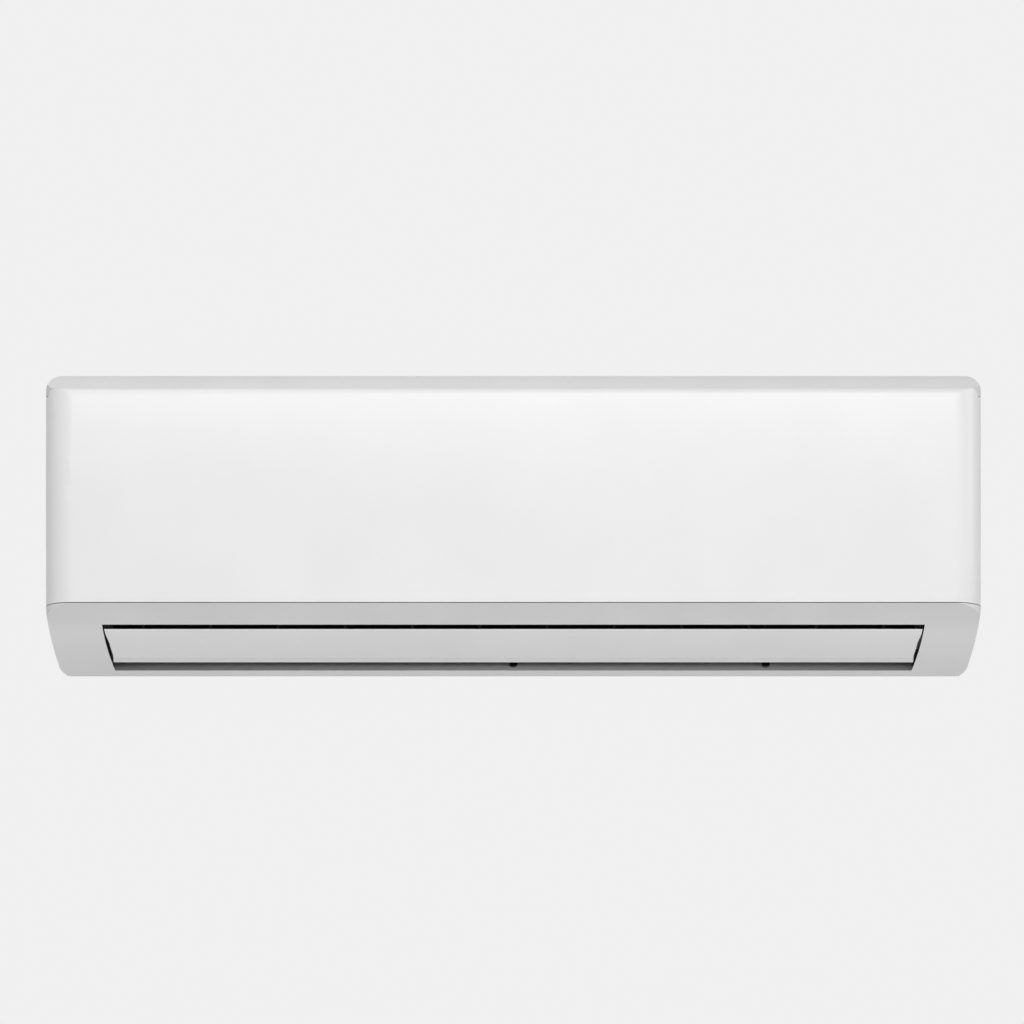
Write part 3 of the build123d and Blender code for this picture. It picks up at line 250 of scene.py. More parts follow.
def finned(name):
    """Aluminium fins seen on edge: fine bright lines with shadow between them."""
    shade = Shade(name, 0.35, metallic=0.9)
    fin = shade.lines(1.4 * MM, "X", 0.7)
    wear = shade.noise(6 * MM, 3)
    bright = shade.mix(wear, colour(176, 180, 186), colour(205, 208, 212))
    shade.paint(shade.mix(fin, colour(62, 64, 68), bright))
    shade.bump(fin, 0.4 * MM)
    return shade.material


def drawn_copper(name, level):
    """Drawn tube: fine lines along it and a little tarnish."""
    shade = Shade(name, 0.3, metallic=1.0)
    tarnish = shade.noise(14 * MM, 4)
    scratch = shade.noise(0.4 * MM, 2, stretch=(0.1, 1, 1))
    tone = colour(*level)
    dull = tuple(c * 0.62 for c in tone[:3]) + (1.0,)
    shade.paint(shade.mix(shade.between(tarnish, 0, 1, 0.35, 0.7), tone, dull))
    shade.rough(shade.between(tarnish, 0.24, 0.45))
    shade.bump(scratch, 0.01 * MM)
    return shade.material


def board(name):
    """Circuit board: green resist over paler tracks."""
    shade = Shade(name, 0.3, coat=0.4)
    tracks = shade.node("ShaderNodeTexBrick")
    tracks.inputs["Scale"].default_value = 1.0
    tracks.inputs["Brick Width"].default_value = 9 * MM
    tracks.inputs["Row Height"].default_value = 2.2 * MM
    tracks.inputs["Mortar Size"].default_value = 0.25 * MM
    turn = shade.node("ShaderNodeMapping")
    turn.inputs["Rotation"].default_value = (math.pi / 2, 0, math.pi / 2)
    shade.link(shade.place, turn.inputs["Vector"])
    shade.link(turn.outputs["Vector"], tracks.inputs["Vector"])
    tracks.inputs["Color1"].default_value = colour(18, 74, 46)
    tracks.inputs["Color2"].default_value = colour(22, 84, 52)
    tracks.inputs["Mortar"].default_value = colour(58, 122, 78)
    shade.paint(tracks.outputs["Color"])
    shade.bump(tracks.outputs["Fac"], 0.04 * MM)
    return shade.material


def speckled(name, dark, light, size=1.2, roughness=0.5, depth=0.02):
    """Rubber, potting and small components: speckle with matching relief."""
    shade = Shade(name, roughness)
    grain = shade.noise(size * MM, 3)
    shade.paint(shade.mix(shade.between(grain, 0, 1, 0.35, 0.65), colour(*dark), colour(*light)))
    shade.rough(shade.between(grain, roughness - 0.08, roughness + 0.08))
    shade.bump(grain, depth * MM)
    return shade.material


FINISH = {
    "panel_plastic": moulded("panel_plastic", (241, 241, 241), 0.5, 0.006, 0.33, 0.006, coat=0.15),
    "casing_plastic": moulded("casing_plastic", (232, 232, 232), 0.35, 0.014, 0.45),
    "flap_plastic": moulded("flap_plastic", (238, 238, 238), 0.45, 0.008, 0.38, 0.008),
    "button_plastic": moulded("button_plastic", (222, 223, 224), 0.3, 0.01, 0.4),
    "duct_plastic": moulded("duct_plastic", (46, 47, 50), 0.4, 0.02, 0.5),
    "vane_plastic": moulded("vane_plastic", (38, 39, 42), 0.4, 0.015, 0.48),
    "chassis_plastic": moulded("chassis_plastic", (226, 226, 224), 0.4, 0.02, 0.5),
    "fan_plastic": fan_plastic("fan_plastic"),
    "filter_plastic": moulded("filter_plastic", (206, 210, 214), 0.3, 0.012, 0.5),
    "mesh": net("mesh"),
    "motor_shell": sheet_metal("motor_shell", 190, roughness=0.42),
    "steel": sheet_metal("steel", 200, roughness=0.32),
    "dark_steel": sheet_metal("dark_steel", 96, roughness=0.45),
    "zinc_plate": sheet_metal("zinc_plate", 196, spangle=9.0, roughness=0.4),
    "fins": finned("fins"),
    "copper": drawn_copper("copper", (214, 138, 104)),
    "brass": drawn_copper("brass", (206, 176, 104)),
    "rubber": speckled("rubber", (24, 24, 25), (38, 38, 40), 0.8, 0.75, 0.03),
    "circuit_board": board("circuit_board"),
    "components": speckled("components", (30, 31, 34), (58, 60, 66), 6.0, 0.4, 0.01),
    "terminal_plastic": moulded("terminal_plastic", (58, 60, 62), 0.4, 0.015, 0.45),
}


def finish(obj, slot):
    obj.data.materials.clear()
    obj.data.materials.append(FINISH[slot])
    return obj


# ================================================================ CAD pieces
BEVEL = {"front_panel": 0.5, "front_frame": 0.9, "top_grille": 0.4, "chassis": 0.4}
FLAT = ("wall_plate",)              # pressed sheet, its edges left square
SHARP = math.radians(30)
# The flap motor is given dark steel in place of its own finish. This is painted shade, so that it reads
# dark in the shaded gap beside the flap.
PAINTED_SHADE_SLOTS = {"flap_motor": "dark_steel"}     # it shows in the dark gap beside the flap


def round_edges(obj, width):
    """Small rounded edges, with the flat faces kept flat; width is in millimetres."""
    bevel = obj.modifiers.new("Bevel", "BEVEL")
    bevel.width = width * MM
    bevel.segments = 2
    bevel.limit_method = "ANGLE"
    bevel.angle_limit = SHARP
    bevel.harden_normals = True


def dress_node(name):
    """Gives a CAD node its finish, small rounded edges and smooth shading on its curves."""
    obj = finish(NODES[name], PAINTED_SHADE_SLOTS.get(name, SLOT_OF[name]))
    mesh = obj.data
    if "custom_normal" in mesh.attributes:
        mesh.attributes.remove(mesh.attributes["custom_normal"])
    mesh.polygons.foreach_set("use_smooth", [name not in FLAT] * len(mesh.polygons))
    if name not in FLAT:
        weld = obj.modifiers.new("Weld", "WELD")
        weld.merge_threshold = 0.002 * MM
        round_edges(obj, BEVEL.get(name, 0.25))


def soften(obj, width):
    """Smooth shading with small rounded edges, for a piece made here."""
    obj.data.polygons.foreach_set("use_smooth", [True] * len(obj.data.polygons))
    round_edges(obj, width)


for node_name in NODES:
    dress_node(node_name)


# ================================================================ mesh helpers
def add_piece(name, mesh, body, slot, stands_for=(), smooth=False):
    """Links a mesh as a piece that rides on a body, in place of the CAD nodes it stands for."""
    obj = bpy.data.objects.new(name, mesh)
    scene.collection.objects.link(obj)
    finish(obj, slot)
    if smooth:
        mesh.polygons.foreach_set("use_smooth", [True] * len(mesh.polygons))
    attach(obj, body)
    if stands_for:
        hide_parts(*stands_for)
    return obj


def mesh_of(name, build):
    """A mesh filled by build(bm)."""
    bm = bmesh.new()
    build(bm)
    bmesh.ops.recalc_face_normals(bm, faces=bm.faces)
    mesh = bpy.data.meshes.new(name)
    bm.to_mesh(mesh)
    bm.free()
    return mesh


def prism(bm, outline, x0, x1):
    """A closed prism along X from a (y, z) outline in metres."""
    ends = [[bm.verts.new((x, y, z)) for y, z in outline] for x in (x0, x1)]
    bm.faces.new(ends[0])
    bm.faces.new(ends[1][::-1])
    for n in range(len(outline)):
        m = (n + 1) % len(outline)
        bm.faces.new((ends[0][n], ends[1][n], ends[1][m], ends[0][m]))


def turned(bm, profile, centre, sides=48):
    """A closed solid turned about X; profile is (along, radius), centre lies on the axis."""
    rings = []
    for along, radius in profile:
        loop = []
        for n in range(sides):
            turn = 2 * math.pi * n / sides
            offset = (along, radius * math.cos(turn), radius * math.sin(turn))
            loop.append(bm.verts.new(Vector(centre) + Vector(offset)))
        rings.append(loop)
    for near, far in zip(rings, rings[1:]):
        for n in range(sides):
            m = (n + 1) % sides
            bm.faces.new((near[n], near[m], far[m], far[n]))
    bm.faces.new(rings[0][::-1])
    bm.faces.new(rings[-1])


def ring(bm, x0, x1, inner, outer, centre, sides=60):
    """A flat ring about X, with a hole."""
    loops = []
    for x, radius in ((x0, inner), (x0, outer), (x1, outer), (x1, inner)):
        loops.append([bm.verts.new((x, centre[0] + radius * math.cos(2 * math.pi * n / sides),
                                    centre[1] + radius * math.sin(2 * math.pi * n / sides)))
                      for n in range(sides)])
    for k in range(4):
        near, far = loops[k], loops[(k + 1) % 4]
        for n in range(sides):
            m = (n + 1) % sides
            bm.faces.new((near[n], near[m], far[m], far[n]))


def rounded_run(corners, bend, steps=8):
    """The centre line of a bent tube: straight runs joined by arcs of one radius."""
    points = [Vector(corners[0])]
    for before, corner, after in zip(corners, corners[1:], corners[2:]):
        corner = Vector(corner)
        back, on = (Vector(before) - corner).normalized(), (Vector(after) - corner).normalized()
        half = back.angle(on) / 2
        reach = bend / math.tan(half)
        middle = corner + (back + on).normalized() * bend / math.sin(half)
        start = (corner + back * reach - middle).normalized()
        end = (corner + on * reach - middle).normalized()
        points += [middle + start.slerp(end, n / steps) * bend for n in range(steps + 1)]
    points.append(Vector(corners[-1]))
    return points


def tube_mesh(name, runs, radius, bend):
    """Round tubes along runs of corners, as one mesh."""
    curve = bpy.data.curves.new(name, "CURVE")
    curve.dimensions = "3D"
    curve.bevel_depth = radius
    curve.bevel_resolution = 6
    curve.use_fill_caps = True
    for corners in runs:
        points = rounded_run(corners, bend)
        spline = curve.splines.new("POLY")
        spline.points.add(len(points) - 1)
        for place, point in zip(spline.points, points):
            place.co = (*point, 1)
    holder = bpy.data.objects.new(name, curve)
    mesh = bpy.data.meshes.new_from_object(holder)
    bpy.data.objects.remove(holder)
    bpy.data.curves.remove(curve)
    return mesh


def side_outline(node):
    """The (y, z) outline of a prism along X, in order, read from its CAD mesh."""
    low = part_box(node)[0].x
    points = {(round(v.co.y, 6), round(v.co.z, 6)) for v in NODES[node].data.vertices
              if v.co.x < low + 1e-5}
    y0 = sum(p[0] for p in points) / len(points)
    z0 = sum(p[1] for p in points) / len(points)
    return sorted(points, key=lambda p: math.atan2(p[1] - z0, p[0] - y0))


# ================================================================ deflector flap
# The side view is given along the flap from its top edge, and out through its face.
FLAP_PITCH = math.radians(36.2)
FLAP_CHORD, FLAP_BULGE, FLAP_SKIN = 57.0, 1.6, 3.0
FLAP_PIVOT = (36.0, -8.0)
GROOVES = (48.7, 52.1)
OUTLET_TOP, OUTLET_SILL = 52.8, 6.0     # heights of the outlet's edges above the underside
OUTLET_HALF = (414.0, 402.0)            # its half widths at those edges
OUTLET_BOW, SIDE_GAP = 1.5, 1.6
# It keeps within these half widths, at places along it, to clear the frame and the duct.
FLAP_TAPER = ((0, 412.6), (22, 406.8), (30, 405.8), (43, 403.6), (60, 403.2))
ARM_WIDTH, ARM_RADIUS, ARM_OUTSIDE = 3.0, 4.2, 401.5
PIN_RADIUS, PIN_START, PIN_LEFT_END = 2.5, 400.0, -407.0
flap_lo, flap_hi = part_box("flap")
flap_top = (flap_lo.y, flap_lo.z + FLAP_CHORD * MM * math.sin(FLAP_PITCH))


def on_flap(along, out):
    """The (y, z) of a place on the shut flap, in metres, from millimetres."""
    c, s = math.cos(FLAP_PITCH) * MM, math.sin(FLAP_PITCH) * MM
    return (flap_top[0] + along * c - out * s, flap_top[1] - along * s - out * c)


def flap_face(along):
    """How far the face bulges out."""
    return FLAP_BULGE * (1 - (2 * along / FLAP_CHORD - 1) ** 2)


def flap_half(along, z):
    """Half width at a place: a gap inside the outlet's bowed sides, or less where the flap has to
    clear the frame and the duct."""
    t = (OUTLET_TOP - (z - cad_box[0].z) / MM) / (OUTLET_TOP - OUTLET_SILL)
    top, low = OUTLET_HALF
    side = top + (low - top) * t + 4 * OUTLET_BOW * t * (1 - t) - SIDE_GAP
    for (a0, w0), (a1, w1) in zip(FLAP_TAPER, FLAP_TAPER[1:]):
        if a0 <= along <= a1:
            return min(side, w0 + (w1 - w0) * (along - a0) / (a1 - a0)) * MM
    return side * MM


def flap_end(bm, face, back):
    """Closes one end with a strip from the face's edge to the back's, both from the top down. The
    end isn't flat, so one polygon could be cut into triangles that stand out past it."""
    i, j = 0, 0
    while i < len(face) - 1 or j < len(back) - 1:
        if j == len(back) - 1 or (i < len(face) - 1 and face[i + 1][0] <= back[j + 1][0]):
            bm.faces.new((face[i][1], face[i + 1][1], back[j][1]))
            i += 1
        else:
            bm.faces.new((face[i][1], back[j + 1][1], back[j][1]))
            j += 1


def build_flap(bm):
    places = [n * 1.5 for n in range(1, 32)] + [48.0]
    outer = [(0.0, -0.7), (0.25, -0.2), (0.8, flap_face(0.8))]
    outer += [(a, flap_face(a)) for a in places if a > 1]
    for middle in GROOVES:
        level = flap_face(middle)
        outer += [(middle - 0.55, level), (middle - 0.25, level - 1.0), (middle + 0.25, level - 1.0),
                  (middle + 0.55, level)]
    outer += [(a, flap_face(a)) for a in (53.4, 54.6, 55.6, 56.4)]
    outer += [(56.9, -0.5), (56.8, -1.6), (56.2, -2.5)]
    inner = [(a, flap_face(a) - FLAP_SKIN)
             for a in (55.0, 48.0, 43.0, 39.0, 36.0, 30.0, 26.0, 22.0, 16.0, 9.0)]
    inner += [(4.6, -2.7), (2.0, -1.9)]
    line = outer + inner
    sides = []
    for sign in (-1, 1):
        loop = []
        for along, out in line:
            y, z = on_flap(along, out)
            loop.append(bm.verts.new((sign * flap_half(along, z), y, z)))
        sides.append(loop)
    for n in range(len(line)):
        m = (n + 1) % len(line)
        bm.faces.new((sides[0][n], sides[0][m], sides[1][m], sides[1][n]))
    for loop in sides:
        ends = [(place[0], vertex) for place, vertex in zip(line, loop)]
        flap_end(bm, ends[:len(outer)], ends[:len(outer) - 1:-1])
    build_flap_arms(bm)


def build_flap_arms(bm):
    """The arms behind the flap, at its ends and beside the brackets, with their pins."""
    arm = [(27.0, -1.4), (45.0, -1.6)]
    arm += [(FLAP_PIVOT[0] + ARM_RADIUS * math.cos(t), FLAP_PIVOT[1] - ARM_RADIUS * math.sin(t))
            for t in [math.pi * n / 12 for n in range(13)]]
    arm = [on_flap(*place) for place in arm]
    pivot = on_flap(*FLAP_PIVOT)
    middles = (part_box("flap_brackets")[0].x + 2 * MM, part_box("flap_brackets")[1].x - 2 * MM)
    starts = [-ARM_OUTSIDE * MM, (ARM_OUTSIDE - ARM_WIDTH) * MM]
    starts += [x + gap * MM for x in middles for gap in (-6, 3)]
    for x in starts:
        prism(bm, arm, x, x + ARM_WIDTH * MM)
    tip, edge = (PIN_RADIUS - 0.4) * MM, 0.4 * MM
    for x0, x1 in ((PIN_LEFT_END * MM, -PIN_START * MM), (PIN_START * MM, flap_hi.x)):
        turned(bm, [(x0, tip), (x0 + edge, PIN_RADIUS * MM), (x1 - edge, PIN_RADIUS * MM),
                    (x1, tip)], (0, *pivot), sides=24)
    for x in middles:
        turned(bm, [(x - 5 * MM, 2 * MM), (x + 5 * MM, 2 * MM)], (0, *pivot), sides=24)


flap = add_piece("deflector_flap", mesh_of("deflector_flap", build_flap), "flap", "flap_plastic",
                 ("flap",), smooth=True)
soften(flap, 0.15)

# ================================================================ outlet's edges
RIM_WIDTH, RIM_FRONT, RIM_BACK, RIM_END = 12.0, -14.0, -16.0, 72.0
RIM_STARTS = (33.9, 55.2)           # the left CAD rim ends here, and the flap motor on the right
SILL_HALF, SILL_SHEET = 403.4, 0.45


def build_end_rims_and_shade(bm):
    """The duct's rims, carried on towards its floor behind the flap's ends; their dark plastic also serves
    as painted shade in the gaps beside the flap's ends.
    """
    left, right = (corner.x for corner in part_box("air_duct"))
    for x0, start in zip((left, right - RIM_WIDTH * MM), RIM_STARTS):
        prism(bm, [on_flap(start, RIM_FRONT), on_flap(RIM_END, RIM_FRONT), on_flap(RIM_END, RIM_BACK),
                   on_flap(start, RIM_BACK)], x0, x0 + RIM_WIDTH * MM)


def build_sill(bm):
    """The casing's lip, turned up over the front of the duct's floor."""
    base = cad_box[0].z
    line = [(-106.4, 5.6), (-104.4, 6.3), (-102.9, 7.3), (-101.6, 8.5), (-100.4, 9.7), (-92.0, 18.1)]
    line += [(y + SILL_SHEET, h - SILL_SHEET) for y, h in reversed(line)]
    prism(bm, [(y * MM, base + h * MM) for y, h in line], -SILL_HALF * MM, SILL_HALF * MM)


# The end rims are dark duct plastic, partly painted shade: they darken the gaps beside the flap's ends.
rims = add_piece("duct_end_rims_and_shade", mesh_of("duct_end_rims_and_shade", build_end_rims_and_shade), "unit", "duct_plastic")
add_piece("outlet_sill", mesh_of("outlet_sill", build_sill), "unit", "casing_plastic", smooth=True)
soften(rims, 0.2)

# ================================================================ cross-flow fan
BLADES = 35
BLADE_DEPTH = 11.0
FAN_RIMS = 11                       # the first and last are discs with a shaft hole
RIM_SHEET = 1.6
HUB_LENGTH, HUB_RADIUS, SHAFT_HOLE = 14.0, 9.0, 4.1


def build_rotor(bm):
    lo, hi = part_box("fan_rotor")
    y0, z0 = (lo.y + hi.y) / 2, (lo.z + hi.z) / 2
    outer, inner = (hi.z - lo.z) / 2 - 0.3 * MM, (hi.z - lo.z) / 2 - BLADE_DEPTH * MM
    for blade in range(BLADES):
        start = 2 * math.pi * blade / BLADES
        curve = []
        for n in range(7):
            t = n / 6
            radius = inner + (outer - inner) * t
            turn = start + 0.24 * t * t - 0.05 * t
            curve.append((radius, turn, (0.35 + 0.9 * t * (1 - t)) * MM))
        outline = [(y0 + (r + w / 2) * math.cos(a - w / 2 / r), z0 + (r + w / 2) * math.sin(a - w / 2 / r))
                   for r, a, w in curve]
        outline += [(y0 + (r - w / 2) * math.cos(a + w / 2 / r), z0 + (r - w / 2) * math.sin(a + w / 2 / r))
                    for r, a, w in reversed(curve)]
        prism(bm, outline, lo.x + 0.5 * MM, hi.x - 0.5 * MM)
    width = RIM_SHEET * MM
    for n in range(FAN_RIMS):
        x = lo.x + n * (hi.x - lo.x - width) / (FAN_RIMS - 1)
        hole = inner - 1 * MM if 0 < n < FAN_RIMS - 1 else SHAFT_HOLE * MM
        ring(bm, x, x + width, hole, outer + 0.3 * MM, (y0, z0))
    for x in (lo.x, hi.x - HUB_LENGTH * MM):
        ring(bm, x, x + HUB_LENGTH * MM, SHAFT_HOLE * MM, HUB_RADIUS * MM, (y0, z0), 32)


add_piece("cross_flow_rotor", mesh_of("cross_flow_rotor", build_rotor), "fan", "fan_plastic",
          ("fan_rotor",))

# ================================================================ heat exchanger
FIN_PITCH, FIN_SHEET = 1.6 * MM, 0.2 * MM


def build_fins(bm, node):
    outline = side_outline(node)
    lo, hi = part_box(node)
    for n in range(int((hi.x - lo.x) / FIN_PITCH)):
        x = lo.x + n * FIN_PITCH + 0.4 * MM
        prism(bm, outline, x, x + FIN_SHEET)


for node_name in ("coil_front", "coil_upper", "coil_rear"):
    title = node_name + "_fins"
    add_piece(title, mesh_of(title, lambda bm: build_fins(bm, node_name)), "unit", "fins",
              (node_name,))


# ================================================================ tubes and unions
def place(x, y, h):
    """A point from millimetres: across, from the wall, above the underside."""
    return (x * MM, y * MM, cad_box[0].z + h * MM)


def side_row(start, slope, across, steps):
    """Places in the side view along a slanted coil bank, from millimetres."""
    y, h = start[0] + 12.5 * across[0], start[1] + 12.5 * across[1]
    return [(y + step * slope[0], h + step * slope[1]) for step in steps]


SLOPE_A, INNER_A = (0.6338, 0.7735), (0.7735, -0.6338)
SLOPE_B, INNER_B = (0.6260, -0.7798), (-0.7798, -0.6260)
front_row = [(-171.5, 106.0), (-171.5, 127.0), (-171.5, 142.0), (-171.5, 163.0)]
upper_row = side_row((-182.0, 192.0), SLOPE_A, INNER_A, (14, 35, 60, 81))
rear_row = side_row((-78.0, 268.0), SLOPE_B, INNER_B, (16, 37, 54, 75))
bend_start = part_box("coil_end_left")[0].x / MM + 0.6
bends = []
for row in (front_row, upper_row, rear_row):
    for (ya, ha), (yb, hb) in (row[:2], row[2:]):
        bends.append([place(bend_start, ya, ha), place(bend_start - 14, ya, ha),
                      place(bend_start - 14, yb, hb), place(bend_start, yb, hb)])
add_piece("return_bend_tubes", tube_mesh("return_bend_tubes", bends, 3.5 * MM, 10.2 * MM), "unit",
          "copper", ("return_bends",), smooth=True)

tube_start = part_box("coil_end_right")[1].x / MM - 0.6
GAS_END, LIQUID_END = (75.0, -24.5, 40.0), (110.0, -19.5, 20.0)
gas_start, liquid_start = side_row((-78.0, 268.0), SLOPE_B, INNER_B, (30, 70))
RUNS = {
    "gas": (6.3, 12.0, [(tube_start, *gas_start), (328, *gas_start), (328, -24.5, gas_start[1] - 5),
                        (328, *GAS_END[1:]), (GAS_END[0] - 1, *GAS_END[1:])]),
    "liquid": (3.2, 9.0, [(tube_start, *liquid_start), (339, *liquid_start),
                          (339, -19.5, liquid_start[1] - 4), (339, *LIQUID_END[1:]),
                          (LIQUID_END[0] - 1, *LIQUID_END[1:])]),
}
for title, (radius, bend, run) in RUNS.items():
    mesh = tube_mesh(title + "_tube", [[place(*point) for point in run]], radius * MM, bend * MM)
    add_piece(title + "_tube", mesh, "unit", "copper", (title + "_pipe",), smooth=True)


def build_union(bm, end, hexagon, hexagon_length, thread, thread_length):
    """A flare union: a hexagon with turned corners, a collar and a thread."""
    x, y, h = end
    centre = place(0, y, h)
    low = x - hexagon_length
    turned(bm, [(low * MM, hexagon * 0.9 * MM), ((low + 1) * MM, hexagon * MM),
                ((x - 1) * MM, hexagon * MM), (x * MM, hexagon * 0.9 * MM)], centre, sides=6)
    turned(bm, [((x - 0.2) * MM, hexagon * 0.72 * MM), ((x + 1.4) * MM, hexagon * 0.66 * MM)],
           centre, sides=32)
    profile = [((low - thread_length) * MM, thread * 0.8 * MM)]
    step = 0.7
    for n in range(int((thread_length - 2) / step)):
        ridge = thread if n % 2 else thread - 0.7
        profile.append(((low - thread_length + 0.8 + n * step) * MM, ridge * MM))
    profile.append(((low + 0.1) * MM, (thread - 0.8) * MM))
    turned(bm, profile, centre, sides=40)


def build_unions(bm):
    build_union(bm, GAS_END, 13.0, 12.0, 9.5, 14.0)
    build_union(bm, LIQUID_END, 9.0, 10.0, 5.55, 12.0)


unions = add_piece("flare_union_fittings", mesh_of("flare_union_fittings", build_unions), "unit",
                   "brass", ("flare_unions",))
soften(unions, 0.15)

# ================================================================ motor
motor_lo, motor_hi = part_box("fan_motor")
motor_axis = (0, (motor_lo.y + motor_hi.y) / 2, (motor_lo.z + motor_hi.z) / 2)


def build_motor(bm):
    x0, x1 = motor_lo.x / MM, motor_hi.x / MM
    steps = [(x0, 12.5), (x0 + 0.6, 13.8), (x0 + 2, 13.9), (x0 + 2, 34), (x0 + 3, 37.6),
             (x0 + 5.5, 39.4), (x0 + 8, 39.7)]
    middle = (x0 + x1) / 2
    for seam in (middle - 9, middle + 9):
        steps += [(seam - 0.6, 39.7), (seam - 0.3, 39.1), (seam + 0.3, 39.1), (seam + 0.6, 39.7)]
    steps += [(x1 - 9, 39.7), (x1 - 6.5, 39.4), (x1 - 4, 37.6), (x1 - 3, 34), (x1 - 3, 13.9),
              (x1 - 0.6, 13.8), (x1, 12.5)]
    turned(bm, [(x * MM, r * MM) for x, r in steps], motor_axis, sides=64)
    for n in range(6):
        turn = math.pi * (2 * n + 1) / 6
        spot = (0, motor_axis[1] + 28 * MM * math.cos(turn), motor_axis[2] + 28 * MM * math.sin(turn))
        turned(bm, [((x1 - 3.2) * MM, 2.6 * MM), ((x1 - 2.0) * MM, 2.6 * MM),
                    ((x1 - 1.5) * MM, 2.0 * MM)], spot, sides=6)


def build_mounts(bm):
    for x in (348.0, 382.0):
        for start, end, radius in ((0, 2.2, 43.4), (2.2, 5.8, 42.6), (5.8, 8, 43.4)):
            ring(bm, (x + start) * MM, (x + end) * MM, 39.6 * MM, radius * MM, motor_axis[1:], 64)


motor = add_piece("motor_body", mesh_of("motor_body", build_motor), "unit", "motor_shell",
                  ("fan_motor",))
soften(motor, 0.2)
mounts = add_piece("motor_rubbers", mesh_of("motor_rubbers", build_mounts), "unit", "rubber",
                   ("motor_mounts",))
soften(mounts, 0.15)

# ================================================================ screws
def build_screw(bm, head, normal, radius, depth, shank=None, length=0.0):
    """A pan head with a cross recess; head is where the head's underside meets the work."""
    axis = Vector(normal).normalized()
    side = axis.orthogonal().normalized()
    other = axis.cross(side)
    sides, steps = 48, 12
    rings = [[bm.verts.new(Vector(head) + side * (radius * math.cos(t)) + other * (radius * math.sin(t)))
              for t in [2 * math.pi * n / sides for n in range(sides)]]]
    for k in range(steps):
        r = radius * (1 - k / steps)
        loop = []
        for n in range(sides):
            t = 2 * math.pi * n / sides
            u, v = r * math.cos(t), r * math.sin(t)
            rise = depth * (0.55 + 0.45 * math.sqrt(max(0.0, 1 - (r / radius) ** 2)))
            arm = min(abs(u), abs(v)) < radius * 0.14 and max(abs(u), abs(v)) < radius * 0.6
            if arm:
                rise -= depth * 0.55
            loop.append(bm.verts.new(Vector(head) + side * u + other * v + axis * rise))
        rings.append(loop)
    for near, far in zip(rings, rings[1:]):
        for n in range(sides):
            m = (n + 1) % sides
            bm.faces.new((near[n], near[m], far[m], far[n]))
    bm.faces.new(rings[0][::-1])
    bm.faces.new(rings[-1])
    if shank:
        low = [bm.verts.new(Vector(head) - axis * length + side * (shank * math.cos(t))
                            + other * (shank * math.sin(t)))
               for t in [2 * math.pi * n / 16 for n in range(16)]]
        high = [bm.verts.new(v.co + axis * length) for v in low]
        for n in range(16):
            m = (n + 1) % 16
            bm.faces.new((low[n], low[m], high[m], high[n]))
        bm.faces.new(low[::-1])
        bm.faces.new(high)


def build_lip_screws(bm):
    lo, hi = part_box("lip_screws")
    y, z = (lo.y + hi.y) / 2, (lo.z + hi.z) / 2
    for x in (lo.x + 3.5 * MM, hi.x - 3.5 * MM):
        build_screw(bm, (x, y - 0.75 * MM, z + 0.75 * MM), (0, -1, 1), 4 * MM, 2 * MM, 1.9 * MM,
                    3.8 * MM)


def build_foot_screws(bm):
    lo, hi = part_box("foot_screws")
    y = (lo.y + hi.y) / 2
    for x in (lo.x + 4.1 * MM, 0.0, hi.x - 4.1 * MM):
        build_screw(bm, (x, y, lo.z + 2.2 * MM), (0, 0, -1), 4 * MM, 2.1 * MM, 1.7 * MM, 10 * MM)


def build_cover_screw(bm):
    lo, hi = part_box("cover_screw")
    x, z = (lo.x + hi.x) / 2, (lo.z + hi.z) / 2
    build_screw(bm, (x, lo.y + 1.6 * MM, z), (0, -1, 0), 3.1 * MM, 1.6 * MM, 1.8 * MM, 5 * MM)


for title, build in (("lip_screw", build_lip_screws), ("foot_screw", build_foot_screws),
                     ("cover_screw", build_cover_screw)):
    node_name = title if title in NODES else title + "s"
    add_piece(title + "_set", mesh_of(title + "_set", build), "unit", SLOT_OF[node_name],
              (node_name,))

# ================================================================ studio
def area_lamp(name, place, target, size, power):
    """A soft rectangular lamp aimed at a point."""
    light = bpy.data.lights.new(name, "AREA")
    light.shape = "RECTANGLE"
    light.size, light.size_y = size
    light.energy = power
    lamp = bpy.data.objects.new(name, light)
    lamp.location = place
    lamp.rotation_mode = "QUATERNION"
    lamp.rotation_quaternion = (Vector(target) - Vector(place)).to_track_quat("-Z", "Y")
    lamp.visible_camera = False
    scene.collection.objects.link(lamp)


def seen_directly(tree):
    """A value that is 1 for rays that show the surroundings: camera, gloss and glass."""
    path = tree.nodes.new("ShaderNodeLightPath")
    total = path.outputs["Is Camera Ray"]
    for name in ("Is Glossy Ray", "Is Transmission Ray"):
        pick = tree.nodes.new("ShaderNodeMath")
        pick.operation = "MAXIMUM"
        tree.links.new(total, pick.inputs[0])
        tree.links.new(path.outputs[name], pick.inputs[1])
        total = pick.outputs["Value"]
    return total


def studio_world(ambient):
    """Plain surroundings: the photograph's grey where seen, soft ambient light elsewhere."""
    world = bpy.data.worlds.new("Studio")
    world.use_nodes = True
    tree = world.node_tree
    background = tree.nodes["Background"]
    background.inputs["Strength"].default_value = 1.0
    mix = tree.nodes.new("ShaderNodeMix")
    mix.data_type = "RGBA"
    tree.links.new(seen_directly(tree), mix.inputs["Factor"])
    mix.inputs["A"].default_value = (ambient, ambient, ambient, 1)
    mix.inputs["B"].default_value = colour(BACKDROP)
    tree.links.new(mix.outputs["Result"], background.inputs["Color"])
    scene.world = world


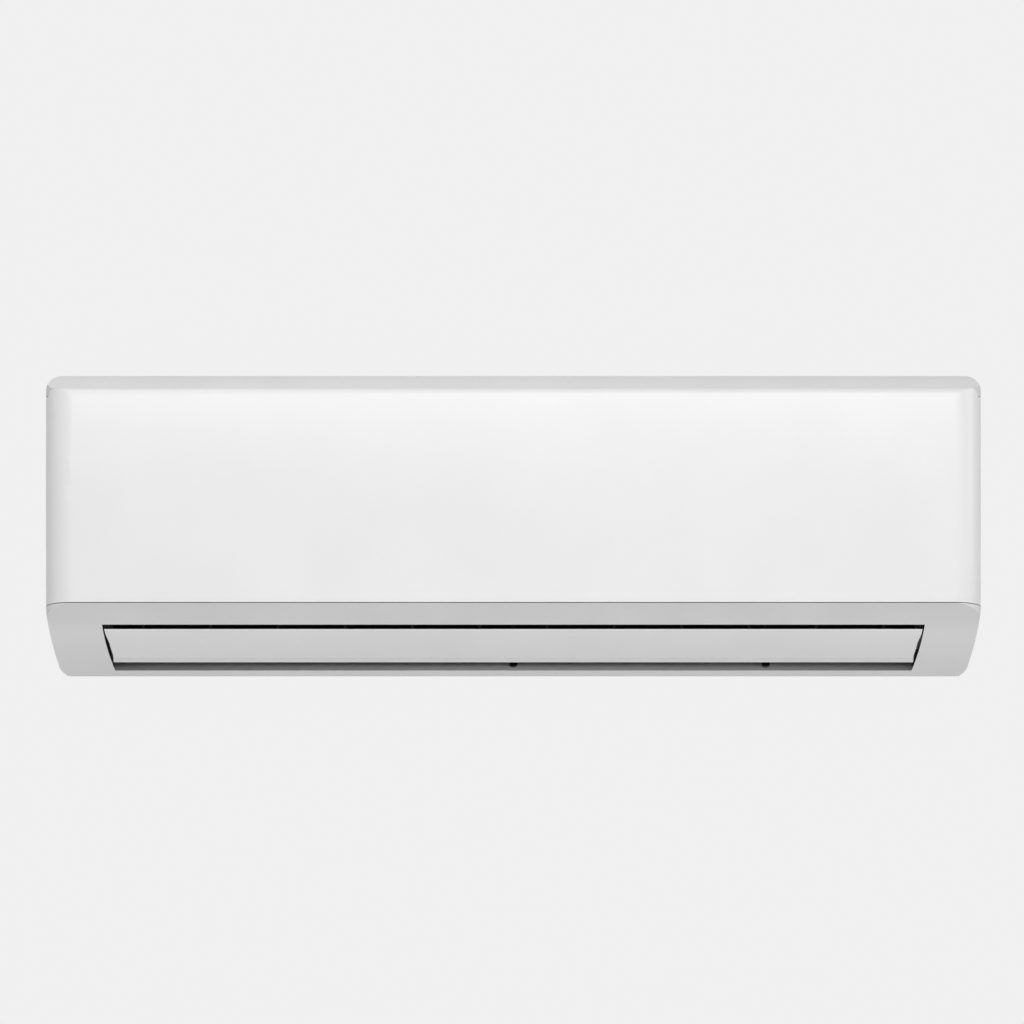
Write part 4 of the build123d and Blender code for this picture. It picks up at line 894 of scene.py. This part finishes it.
def studio_floor(level_z, size):
    """A plain pale floor well below the wall-hung unit, open from beneath. Where it is seen it
    shows the backdrop's grey, with a share of its own shading for the unit's shadow."""
    mesh = bpy.data.meshes.new("studio_floor")
    half = size / 2
    mesh.from_pydata([(-half, -half, level_z), (half, -half, level_z), (half, half, level_z),
                      (-half, half, level_z)], [], [(0, 1, 2, 3)])
    floor = bpy.data.objects.new("studio_floor", mesh)
    scene.collection.objects.link(floor)
    shade = Shade("studio_floor", 0.9, specular=0.1)
    shade.paint(shade.mix(shade.noise(60 * MM, 3), colour(BACKDROP - 4), colour(BACKDROP)))
    tree = shade.tree
    glow = shade.node("ShaderNodeEmission")
    glow.inputs["Color"].default_value = colour(254)
    clear = shade.node("ShaderNodeBsdfTransparent")
    seen = shade.node("ShaderNodeMath", operation="MULTIPLY")
    seen.inputs[1].default_value = 1 - FLOOR_SHADING
    shade.link(seen_directly(tree), seen.inputs[0])
    pale, sided = shade.node("ShaderNodeMixShader"), shade.node("ShaderNodeMixShader")
    shade.link(seen.outputs["Value"], pale.inputs["Fac"])
    shade.link(shade.shader.outputs["BSDF"], pale.inputs[1])
    shade.link(glow.outputs["Emission"], pale.inputs[2])
    shade.link(shade.node("ShaderNodeNewGeometry").outputs["Backfacing"], sided.inputs["Fac"])
    shade.link(pale.outputs["Shader"], sided.inputs[1])
    shade.link(clear.outputs["BSDF"], sided.inputs[2])
    shade.link(sided.outputs["Shader"], tree.nodes["Material Output"].inputs["Surface"])
    floor.data.materials.append(shade.material)


def photo_camera():
    """The photograph's straight front view, through a long lens."""
    lo, hi = cad_box
    middle = (lo + hi) / 2
    data = bpy.data.cameras.new("photo_camera")
    data.lens, data.sensor_width = LENS, SENSOR
    camera = bpy.data.objects.new("photo_camera", data)
    metres = PHOTO_MM_PER_PIXEL * MM
    distance = PHOTO_PIXELS * metres * LENS / SENSOR
    camera.location = (middle.x - (PHOTO_MIDDLE[0] - PHOTO_PIXELS / 2) * metres,
                       lo.y + OUTLINE_BEHIND_FRONT - distance,
                       middle.z + (PHOTO_MIDDLE[1] - PHOTO_PIXELS / 2) * metres)
    camera.rotation_euler = (math.pi / 2, 0, 0)
    data.clip_end = 100
    scene.collection.objects.link(camera)
    scene.camera = camera


scene.view_settings.view_transform = "Standard"
studio_world(0.36)
studio_floor(-0.9, 16.0)
photo_camera()
area_lamp("front_lamp", (0.22, -3.4, 1.3), (0, -0.15, 0), (3.0, 1.8), 50.5)
area_lamp("low_lamp", (0.1, -2.6, -0.75), (0, -0.15, -0.08), (2.4, 0.8), 8)
area_lamp("top_lamp", (-0.8, -0.5, 2.4), (-0.2, -0.15, 0.1), (1.8, 1.4), 12.4)
area_lamp("right_lamp", (2.8, -0.75, 0.5), (0.3, -0.1, 0), (1.0, 1.4), 8)
